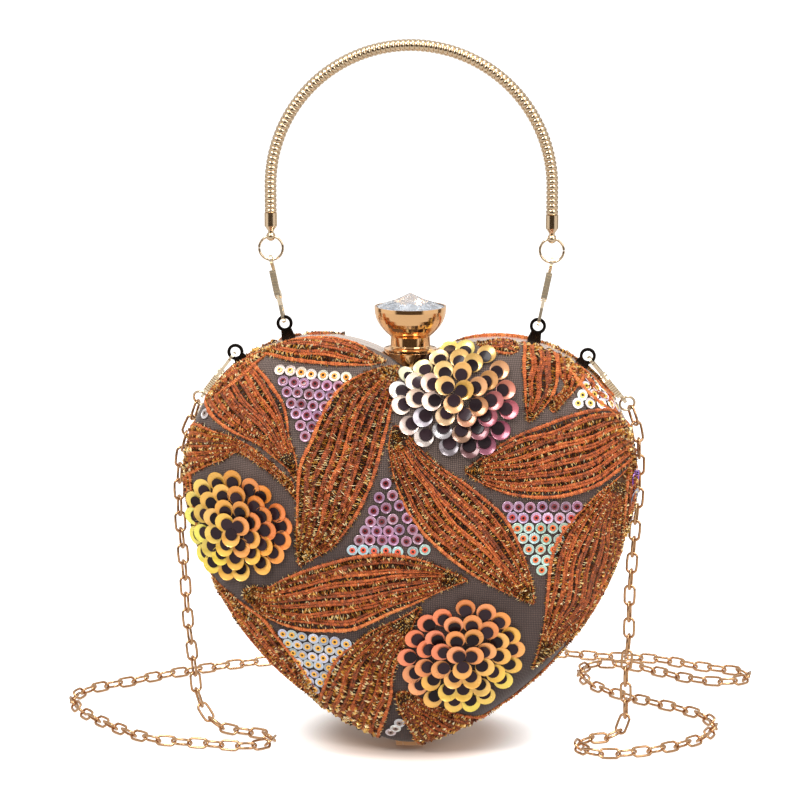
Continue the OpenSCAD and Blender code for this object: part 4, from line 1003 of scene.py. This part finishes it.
def to_back(obj, name):
    """Copies a settled front piece and turns it round for the back half."""
    pick(obj)
    bpy.ops.object.duplicate(linked=False)
    back = bpy.context.object
    back.parent = None
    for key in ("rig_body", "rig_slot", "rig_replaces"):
        if key in back:
            del back[key]
    back.data.transform(Matrix.Rotation(math.pi, 4, "Z"))
    return settle(back, name, obj.data.materials[0], "back_half", "cover")


def colour_setting(name, words, colour):
    return bpy.props.FloatVectorProperty(
        name=name, description=words, subtype="COLOR", size=3, default=rgb(*colour), min=0, max=1)


def length_setting(name, words, low, usual, high):
    return bpy.props.FloatProperty(
        name=name, description=words, subtype="DISTANCE", unit="LENGTH",
        default=usual * MM, min=low * MM, max=high * MM)


# The user's sizes and colours
class HeartBagSettings(bpy.types.PropertyGroup):
    """Sizes in millimetres and colours of the bag."""

    gold: colour_setting("Gold", "Colour of the polished light gold plating", (232, 188, 146))
    handle_gold: colour_setting("Handle gold", "Colour of the handle's and rings' plating", (228, 202, 168))
    pale_gold: colour_setting("Frame gold", "Colour of the two heart frames' plating", (252, 234, 220))
    gunmetal: colour_setting("Dark plating", "Colour of the four dark lugs", (62, 54, 50))
    hose_radius: length_setting("Hose radius", "Outer radius of the handle's ribbed hose", 1.5, 2.4, 3.5)
    rib_pitch: length_setting("Rib pitch", "Distance from one rib of the hose to the next", 0.8, 1.9, 3)
    link_length: length_setting("Link length", "Outer length of one strap link", 6, 9.2, 12)
    link_width: length_setting("Link width", "Outer width of one strap link", 4, 5.2, 8)
    link_wire: length_setting("Link wire", "Radius of the strap's wire", 0.3, 0.55, 1)
    band: length_setting("Band width", "Width of one band of cord or stitches in a leaf", 1.5, 3.4, 6)


def choice():
    return bpy.context.scene.heart_bag


def full(colour):
    return (*tuple(colour)[:3], 1)


# The strap's route over the ground, as in the solids, in millimetres
STRAP_ROUTE = [
    (-89, 15, 128), (-92, 14, 121), (-93, 14, 114), (-94, 14, 107), (-94, 14, 99), (-94, 14, 90),
    (-93, 14, 76), (-92, 14, 60), (-91, 14, 44), (-89, 14, 28), (-88, 14, 17), (-85, 14, 8.5),
    (-81, 13, 4.2), (-76, 10, 2.4), (-69, 7, 2.3),
    (-60, 4, 2.3), (-55, -3, 2.3), (-58, -11, 2.3), (-66, -14, 2.3), (-78, -12, 2.3), (-90, -10, 2.3),
    (-100, -8, 2.3), (-110, -2, 2.3), (-119, 7, 2.3), (-127, 16, 2.3), (-135, 26, 2.3), (-141, 36, 2.3),
    (-145, 48, 2.3), (-144, 60, 2.3), (-137, 70, 2.3), (-127, 78, 2.3), (-114, 90, 2.3), (-98, 102, 2.3),
    (-82, 112, 2.3), (-62, 121, 2.3), (-40, 129, 2.3), (-15, 136, 2.3), (15, 141, 2.3), (40, 143, 2.3),
    (58, 140, 2.3), (74, 136, 2.3), (90, 135, 2.3), (104, 131, 2.3), (114, 124, 2.3), (125, 119, 2.3),
    (135, 115, 2.3), (139, 106, 2.3), (132, 98, 2.3), (121, 98, 2.3), (111, 103, 2.3), (100, 112, 2.3),
    (88, 121, 2.3), (76, 124, 2.3), (68, 117, 2.3), (67, 103, 2.3), (72, 88, 2.3), (82, 75, 2.3),
    (95, 64, 2.3), (108, 54, 2.3), (118, 43, 2.3), (122, 29, 2.3), (118, 13, 2.3), (108, 1, 2.3),
    (94, -9, 2.3), (80, -14, 2.3), (70, -10, 2.3), (67, -2, 2.3), (72, 6, 2.3), (80, 10, 2.3),
    (84, 13, 4), (86, 14, 9.5), (86, 14, 18), (86, 14, 30), (87, 14, 44), (87, 14, 60),
    (88, 14, 76), (89, 14, 90), (90, 14, 102), (90, 14, 112), (90, 14, 121), (89, 15, 128),
]
STRAP_NODES = ["chain_fall_left", "chain_front_left", "chain_side_left", "chain_behind",
               "chain_side_right", "chain_front_right", "chain_fall_right"]
# The strap lug's place on the lobe, and how its hook hangs from it, in degrees and millimetres
STRAP_LUG_TURN, HOOK_OUT, HOOK_BACK = 53.5, 37, 26
LUG_REACH, LUG_MEAN_R, FRAME_MID = 58.7, 2.6, 3.1
HOOK_LENGTH, END_RING_WIDE, END_RING_WIRE = 23, 6, 0.5
# The solids' links, which set where the links meet
LINK_LENGTH, LINK_WIRE, LINK_PLAY = 9.2, 0.55, 0.3


def strap_places():
    """Where the strap's links meet, from the left end ring to the right, as in the solids."""
    lobe_x, lobe_z = DOME.lobe_x / MM, DOME.lobe_z / MM
    turn, out, back = (math.radians(degrees) for degrees in (STRAP_LUG_TURN, HOOK_OUT, HOOK_BACK))
    lug = np.array([lobe_x + LUG_REACH * math.cos(turn), FRAME_MID, lobe_z + LUG_REACH * math.sin(turn)])
    pivot = lug + LUG_MEAN_R * np.array([math.sin(out), 0, -math.cos(out)])
    way = np.array([math.sin(out) * math.cos(back), math.sin(back), -math.cos(out) * math.cos(back)])
    pitch = LINK_LENGTH - 4 * LINK_WIRE - LINK_PLAY
    reach = LINK_LENGTH / 2 - LINK_WIRE - pitch / 2
    seat = END_RING_WIRE + LINK_WIRE + LINK_PLAY / 2
    start = pivot + way * (HOOK_LENGTH + END_RING_WIDE - seat + reach)
    first = start * np.array([-1, 1, 1])
    fine = rounded(np.vstack([[first, first], STRAP_ROUTE, [start, start]]), 6)
    s = lengths(fine)
    count = 2 * round((s[-1] / pitch - 1) / 2) + 1
    return look_up(s[-1] * np.arange(count + 1) / count, s, fine) * MM


class BAG_OT_stage(bpy.types.Operator):
    """Adds the pale floor, the soft lights, the white surround and the camera"""

    bl_idname = "heartbag.stage"
    bl_label = "Studio"

    def execute(self, context):
        scene = context.scene
        scene.view_settings.view_transform = "Standard"
        clear_choice()
        bpy.ops.mesh.primitive_plane_add(size=120)
        floor = context.object
        floor.name = "floor"
        f = Finish("floor_white")
        place = f.coords()
        away = f.node("ShaderNodeVectorMath", {0: place}, {"operation": "LENGTH"}, out=1)
        off_middle = f.node(
            "ShaderNodeVectorMath", {0: place, 1: SHADOW_MIDDLE}, {"operation": "DISTANCE"}, out=1)
        # Round the tip the floor's colour turns darker and browner, a painted shadow, and its glow fades out
        # there
        share = f.between(off_middle, *SHADOW_FADE)
        colour = f.mix(share, FLOOR_PAINTED_SHADOW, FLOOR_PALE)
        strength = (f.ray("Camera") + f.ray("Transmission")) * share * FLOOR_GLOW
        glow = f.node("ShaderNodeEmission", {"Color": WHITE, "Strength": strength})
        plain = f.node("ShaderNodeBsdfDiffuse", {"Color": colour})
        seen = f.node("ShaderNodeAddShader", {0: plain, 1: glow})
        # For glossy rays the floor glows instead, with painted reflections of a shadow by the tip and of
        # stripes further off
        side = f.part(place, 1) / away
        stripes = f.ramp(0.5 - side * 0.5, FLOOR_STRIPES)
        far = f.mix(f.between(away, *STRIPES_FROM), MIRRORED_PALE, stripes)
        mirrored = f.node(
            "ShaderNodeEmission", {"Color": f.mix(share, MIRRORED_PAINTED_SHADOW, far), "Strength": 1.0})
        f.node("ShaderNodeOutputMaterial", {"Surface": f.choose(f.ray("Glossy"), seen, mirrored)})
        floor.data.materials.append(f.owner)
        world = bpy.data.worlds.new("surround")
        scene.world = world
        w = Finish("", world)
        way = w.coords("Generated")
        room = w.ramp(w.part(way, 2) * 0.5 + 0.5, ROOM_BANDS)
        flag = w.ramp(0.5 - w.part(way, 1) * 0.5, FLAG_EDGE)
        light = {
            kind: w.node("ShaderNodeBackground", {"Color": colour, "Strength": strength})
            for kind, colour, strength in (
                ("plain", WHITE, PLAIN_LIGHT), ("seen", WHITE, 1.0),
                ("mirrored", w.mix(flag, room, FLAG), 1.0))}
        surround = w.choose(w.ray("Camera"), light["plain"], light["seen"])
        for kind in ("Glossy", "Transmission"):
            surround = w.choose(w.ray(kind), surround, light["mirrored"])
        w.node("ShaderNodeOutputWorld", {"Surface": surround})
        for name, place, size, power in LAMPS:
            light = bpy.data.lights.new(name, "AREA")
            light.size = size
            light.energy = power
            lamp = bpy.data.objects.new(name, light)
            lamp.location = place
            lamp.rotation_euler = (LIT_PLACE - Vector(place)).to_track_quat("-Z", "Y").to_euler()
            scene.collection.objects.link(lamp)
        camera = bpy.data.objects.new("camera", bpy.data.cameras.new("camera"))
        camera.data.sensor_width = 36
        camera.data.lens = 36 * CAMERA_FOCUS / PICTURE
        camera.data.clip_end = 200
        camera.location = CAMERA_PLACE
        camera.rotation_euler = (math.pi / 2 - CAMERA_PITCH, 0, CAMERA_YAW)
        scene.collection.objects.link(camera)
        scene.camera = camera
        return {"FINISHED"}


class BAG_OT_strap(bpy.types.Operator):
    """Adds the chain strap, one link after another along its route"""

    bl_idname = "heartbag.strap"
    bl_label = "Chain strap"

    def execute(self, context):
        s = choice()
        places = strap_places()
        clear_choice()
        side = s.link_length - s.link_width
        mean = s.link_width / 2 - s.link_wire
        bpy.ops.mesh.primitive_torus_add(
            major_segments=20, minor_segments=8, major_radius=mean, minor_radius=s.link_wire)
        link = context.object
        for corner in link.data.vertices:
            if abs(corner.co.x) > 1e-6:
                corner.co.x += math.copysign(side / 2, corner.co.x)
        shape = take_shape(link)
        ways = unit(np.diff(places, axis=0))
        count = len(ways)
        middle = (count - 1) // 2
        sides = [None] * count
        for run in (range(middle, count), range(middle, -1, -1)):
            u = np.array([0, 0, 1.0])
            for i in run:
                if i != middle:
                    u = unit(u - ways[i] * (u @ ways[i]))
                sides[i] = u
        pile = Pile()
        for i, d in enumerate(ways):
            v = np.cross(d, sides[i])
            roll = math.radians((i % 2) * 90 + 45 * (2 - min(1, i / 4, (count - 1 - i) / 4)))
            w = sides[i] * math.cos(roll) + v * math.sin(roll)
            verts = shape[0] @ np.stack([d, w, np.cross(d, w)])
            pile.add((places[i] + places[i + 1]) / 2 + verts, shape[1])
        strap = pile.piece("chain_strap")
        settle(strap, "chain_strap", FINISHES["chain"], "back_half", "chain", angle=60)
        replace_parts(strap, *STRAP_NODES)
        run = float(lengths(places)[-1])
        return {"FINISHED"}


# Radius of the handle's arch, and of its hose along one rib, as shares of the rib and of the hose's radius
ARCH_RADIUS = 55 * MM
RIB_PROFILE = [(0.0, 0.82), (0.12, 0.93), (0.3, 0.99), (0.55, 1.0), (0.78, 0.97), (0.92, 0.90)]
# How far the ribs slant, as a share of their pitch, and over what length they turn square at the ends
RIB_SLANT = 0.3
RIB_EASE = 3 * MM
HOSE_SIDES = 20


class BAG_OT_handle(bpy.types.Operator):
    """Adds the handle's ribbed hose over its arch"""

    bl_idname = "heartbag.handle"
    bl_label = "Ribbed handle"

    def execute(self, context):
        s = choice()
        low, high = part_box("handle_tube")
        radius = ARCH_RADIUS
        top = high[2] - s.hose_radius - radius
        side = top - low[2]
        length = 2 * side + math.pi * radius
        count = round(length / s.rib_pitch)
        mid = (low[1] + high[1]) / 2
        at = np.array([(k + p) / count for k in range(count) for p, _ in RIB_PROFILE] + [1.0]) * length
        scale = np.array([q for _ in range(count) for _, q in RIB_PROFILE] + [RIB_PROFILE[0][1]])
        turn = np.arange(HOSE_SIDES) * 2 * math.pi / HOSE_SIDES
        slant = s.rib_pitch * RIB_SLANT * np.sin(turn)
        ease = np.minimum(1, np.minimum(at, length - at) / RIB_EASE)[:, None]
        at = np.clip(at[:, None] + slant * ease, 0, length)
        a = np.clip(math.pi - (at - side) / radius, 0, math.pi)
        up, down = at < side, at > length - side
        x = np.where(up, -radius, np.where(down, radius, radius * np.cos(a)))
        straight = np.where(up, top - side + at, top - (at - length + side))
        z = np.where(up | down, straight, top + radius * np.sin(a))
        lean = np.where(up, math.pi, np.where(down, 0, a))
        r = (s.hose_radius * scale)[:, None]
        out, aside = r * np.cos(turn), r * np.sin(turn)
        ring = np.stack([x + np.cos(lean) * out, np.broadcast_to(mid + aside, x.shape),
                         z + np.sin(lean) * out], axis=-1)
        hose = mesh_piece("ribbed_hose", ring.reshape(-1, 3), tube_faces(len(at), HOSE_SIDES, flip=True))
        settle(hose, "ribbed_hose", FINISHES["champagne"], "handle", "gold", angle=50)
        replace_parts(hose, "handle_tube")
        return {"FINISHED"}


CLOTH_THICK = 0.9 * MM
MERGE_REACH = 0.02 * MM


class BAG_OT_covers(bpy.types.Operator):
    """Adds the two net cloth covers over the domed halves"""

    bl_idname = "heartbag.covers"
    bl_label = "Cloth covers"

    def execute(self, context):
        n, m = len(DOME.angles), DOME.steps
        clear_choice()
        bpy.ops.mesh.primitive_grid_add(x_subdivisions=n // 2, y_subdivisions=m, size=1)
        cover = context.object
        flat = np.zeros((len(cover.data.vertices), 2))
        for k, corner in enumerate(cover.data.vertices):
            i = int(round((corner.co.x + 0.5) * (n // 2)))
            j = int(round((corner.co.y + 0.5) * m))
            row = (2 * i) % n
            corner.co = DOME.table[row, j]
            s = DOME.length[row] * j / m
            flat[k] = (s * math.cos(DOME.angles[row]), s * math.sin(DOME.angles[row]))
        layer = cover.data.uv_layers.active or cover.data.uv_layers.new(name="map")
        for loop in cover.data.loops:
            layer.data[loop.index].uv = flat[loop.vertex_index]
        bpy.ops.object.mode_set(mode="EDIT")
        bpy.ops.mesh.select_all(action="SELECT")
        bpy.ops.mesh.remove_doubles(threshold=MERGE_REACH)
        bpy.ops.mesh.normals_make_consistent(inside=False)
        bpy.ops.object.mode_set(mode="OBJECT")
        if sum(face.normal.y for face in cover.data.polygons) > 0:
            cover.data.flip_normals()
        wall = cover.modifiers.new("wall", "SOLIDIFY")
        wall.thickness = CLOTH_THICK
        wall.offset = -1
        settle(cover, "cover_front", FINISHES["net"], "front_half", "cover", angle=60)
        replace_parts(cover, "front_cover")
        back = to_back(cover, "cover_back")
        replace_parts(back, "back_cover")
        return {"FINISHED"}


class BAG_OT_leaves(bpy.types.Operator):
    """Sews the leaves: bands of rust cord with bands of gold stitches between them"""

    bl_idname = "heartbag.leaves"
    bl_label = "Embroidered leaves"

    def execute(self, context):
        cords, threads, fringe = Pile(), Pile(), Pile()
        for _, start_over, end_over, gold, left, right in LEAVES:
            a, b = leaf_lines(left, right, start_over, end_over)
            sew_leaf(cords, threads, fringe, a, b, gold, choice().band)
        for first, last, reach in RIM_LEAVES:
            a0, a1 = math.radians(first), math.radians(last if last > first else last + 360)
            turn = np.linspace(a0, a1, 40)
            wide = np.sin(np.linspace(0, math.pi, 40)) * RIM_LEAF_WIDE
            lines = []
            for way in (-1, 1):
                a = (turn + math.pi) % (2 * math.pi) - math.pi
                long_ = np.interp(a, DOME.angles, DOME.length)
                s = long_ * np.minimum(reach + way * wide, 0.995)
                lines.append(np.stack([s * np.cos(a), s * np.sin(a)], axis=1))
            sew_leaf(cords, threads, fringe, *lines, RIM_LEAF_GOLD, choice().band)
        for pile, name, finish in (
            (cords, "leaf_cords", "cord"), (threads, "gold_stitches", "thread"),
            (fringe, "gold_fringe", "thread")):
            for half in ("front", "back"):
                settle_half(pile.piece(name), name, finish, half, 50, smooth=name == "leaf_cords")
        return {"FINISHED"}


class BAG_OT_sequins(bpy.types.Operator):
    """Sews the three sequin flowers, the patches of ring sequins and a few loose sequins"""

    bl_idname = "heartbag.sequins"
    bl_label = "Sequins"

    def execute(self, context):
        petal = disc_shape(*PETAL, rim=PETAL_RIM)
        pupil = disc_shape(*PUPIL)
        ring = ring_shape()
        for half in ("front", "back"):
            petals, pupils, rings = Pile(), Pile(), Pile()
            for pixel, tints in FLOWERS:
                middle = BACK_MIDDLE if half == "back" and pixel == FLOWERS[0][0] else pixel
                sew_flower((petals, pupils), middle, tints, petal, pupil)
            for corners, rows, tints in PATCHES:
                sew_patch(rings, corners, rows, tints, ring)
            for pixel in LOOSE_SEQUINS:
                sew_patch(rings, [pixel] * 3, 1, [(rgb(214, 206, 206), rgb(150, 130, 120))], ring)
            for pixel, tint in SIDE_SEQUINS:
                p, n = DOME.point(DOME.under_pixels([pixel]), 0.3 * MM)
                down = unit(np.cross(n, np.array([0, 1.0, 0])))
                set_down(petals, petal, p, down, n, 0.12, np.array(tint))
            for pile, name, finish in (
                (petals, "petal_sequins", "film"), (pupils, "black_sequins", "black_film"),
                (rings, "ring_sequins", "ring_film")):
                settle_half(pile.piece(name), name, finish, half, 35)
        return {"FINISHED"}


class BAG_OT_metal(bpy.types.Operator):
    """Gives the frames, hinge, clasp, hooks, rings, lugs, stone, shells and linings their finishes"""

    bl_idname = "heartbag.metal"
    bl_label = "Metal, stone and lining finishes"

    def execute(self, context):
        def starting(*starts):
            return [name for name in frame["nodes"] if name.startswith(starts)]

        table = {
            "frame_gold": ["back_frame", "front_frame"],
            "dark": starting("lug"),
            "stone": ["clasp_stone"],
            "clasp": ["clasp_base", "clasp_knob"],
            "champagne": starting("handle", "ring", "strap_ring"),
            "hook": starting("hook", "strap_hook"),
            "board": ["back_shell", "front_shell"],
            "satin": ["back_lining", "front_lining"],
        }
        given = {node: key for key, nodes in table.items() for node in nodes}
        for name, node in frame["nodes"].items():
            node.data.materials.clear()
            node.data.materials.append(FINISHES[given.get(name, "gold")])
        return {"FINISHED"}


FINISHES = {}


def mix_finishes():
    s = choice()
    f = Finish("cut_stone")
    sparkle = f.noise(f.coords(), 400.0, 2)
    FINISHES.update({
        "gold": polished("light_gold", full(s.gold)),
        "chain": polished("chain_gold", rgba(222, 174, 128), rough=0.16, deep=0.6),
        "clasp": polished("clasp_gold", rgba(248, 196, 140), rough=0.12, deep=0.75),
        "champagne": polished("champagne_gold", full(s.handle_gold), rough=0.16, deep=0.7),
        "hook": polished("hook_gold", rgba(255, 238, 208), rough=0.32, deep=0.75),
        "frame_gold": polished("frame_gold", full(s.pale_gold), rough=0.22, deep=0.88),
        "dark": polished("dark_plating", full(s.gunmetal), rough=0.25, deep=0.6),
        "net": net_cloth("net_cloth"),
        "cord": rust_cord("rust_cord"),
        "thread": gold_thread("gold_thread"),
        "film": sequin_film("petal_film", metal=0.35),
        "black_film": sequin_film("black_film", rough=0.14, metal=0.0, coat=0.12),
        "ring_film": sequin_film("ring_film", rough=0.25, metal=0.25),
        "stone": f.surface(
            Base_Color=(0.88, 0.93, 1.0, 1), Roughness=sparkle * 0.03, IOR=1.62, Transmission_Weight=0.8),
    })
    f = Finish("moulded_board")
    grain = f.noise(f.coords(), 900.0, 4)
    FINISHES["board"] = f.surface(
        Base_Color=f.mix(grain, rgba(62, 54, 48), rgba(88, 78, 70)), Roughness=0.7,
        Normal=f.bump(grain, 0.0002, 0.5))
    f = Finish("satin_lining")
    place = f.coords()
    weave = ((f.part(place, 0) * 9000.0).sine() * (f.part(place, 2) * 9000.0).sine()) * 0.5 + 0.5
    fold = f.noise(f.coords(), 14.0, 2)
    # The lining's colour follows the folds that its bump shapes, darker in the hollows and lighter on the
    # crests: painted shade and sheen
    FINISHES["satin"] = f.surface(
        Base_Color=f.mix(fold, rgba(150, 124, 102), rgba(206, 184, 160)), Roughness=fold * 0.2 + 0.35,
        Normal=f.bump(weave * 0.3 + fold, 0.0004, 0.5))


class HEARTBAG_PT_panel(bpy.types.Panel):
    """Lists the bag's pieces and sizes"""

    bl_label = "Heart bag"
    bl_idname = "HEARTBAG_PT_panel"
    bl_space_type = "VIEW_3D"
    bl_region_type = "UI"
    bl_category = "Heart bag"

    def draw(self, context):
        column = self.layout.column()
        for name in HeartBagSettings.__annotations__:
            column.prop(context.scene.heart_bag, name)
        for operator in OPERATORS:
            column.operator(operator.bl_idname)


OPERATORS = (
    BAG_OT_stage, BAG_OT_strap, BAG_OT_metal, BAG_OT_handle, BAG_OT_covers, BAG_OT_leaves, BAG_OT_sequins)
CLASSES = (HeartBagSettings, HEARTBAG_PT_panel) + OPERATORS


def register():
    for cls in CLASSES:
        bpy.utils.register_class(cls)
    bpy.types.Scene.heart_bag = bpy.props.PointerProperty(type=HeartBagSettings)


def unregister():
    del bpy.types.Scene.heart_bag
    for cls in reversed(CLASSES):
        bpy.utils.unregister_class(cls)


def main():
    register()
    mix_finishes()
    bpy.ops.heartbag.stage()
    bpy.ops.heartbag.strap()
    bpy.ops.heartbag.metal()
    bpy.ops.heartbag.handle()
    bpy.ops.heartbag.covers()
    bpy.ops.heartbag.leaves()
    bpy.ops.heartbag.sequins()


if __name__ == "__main__":
    main()
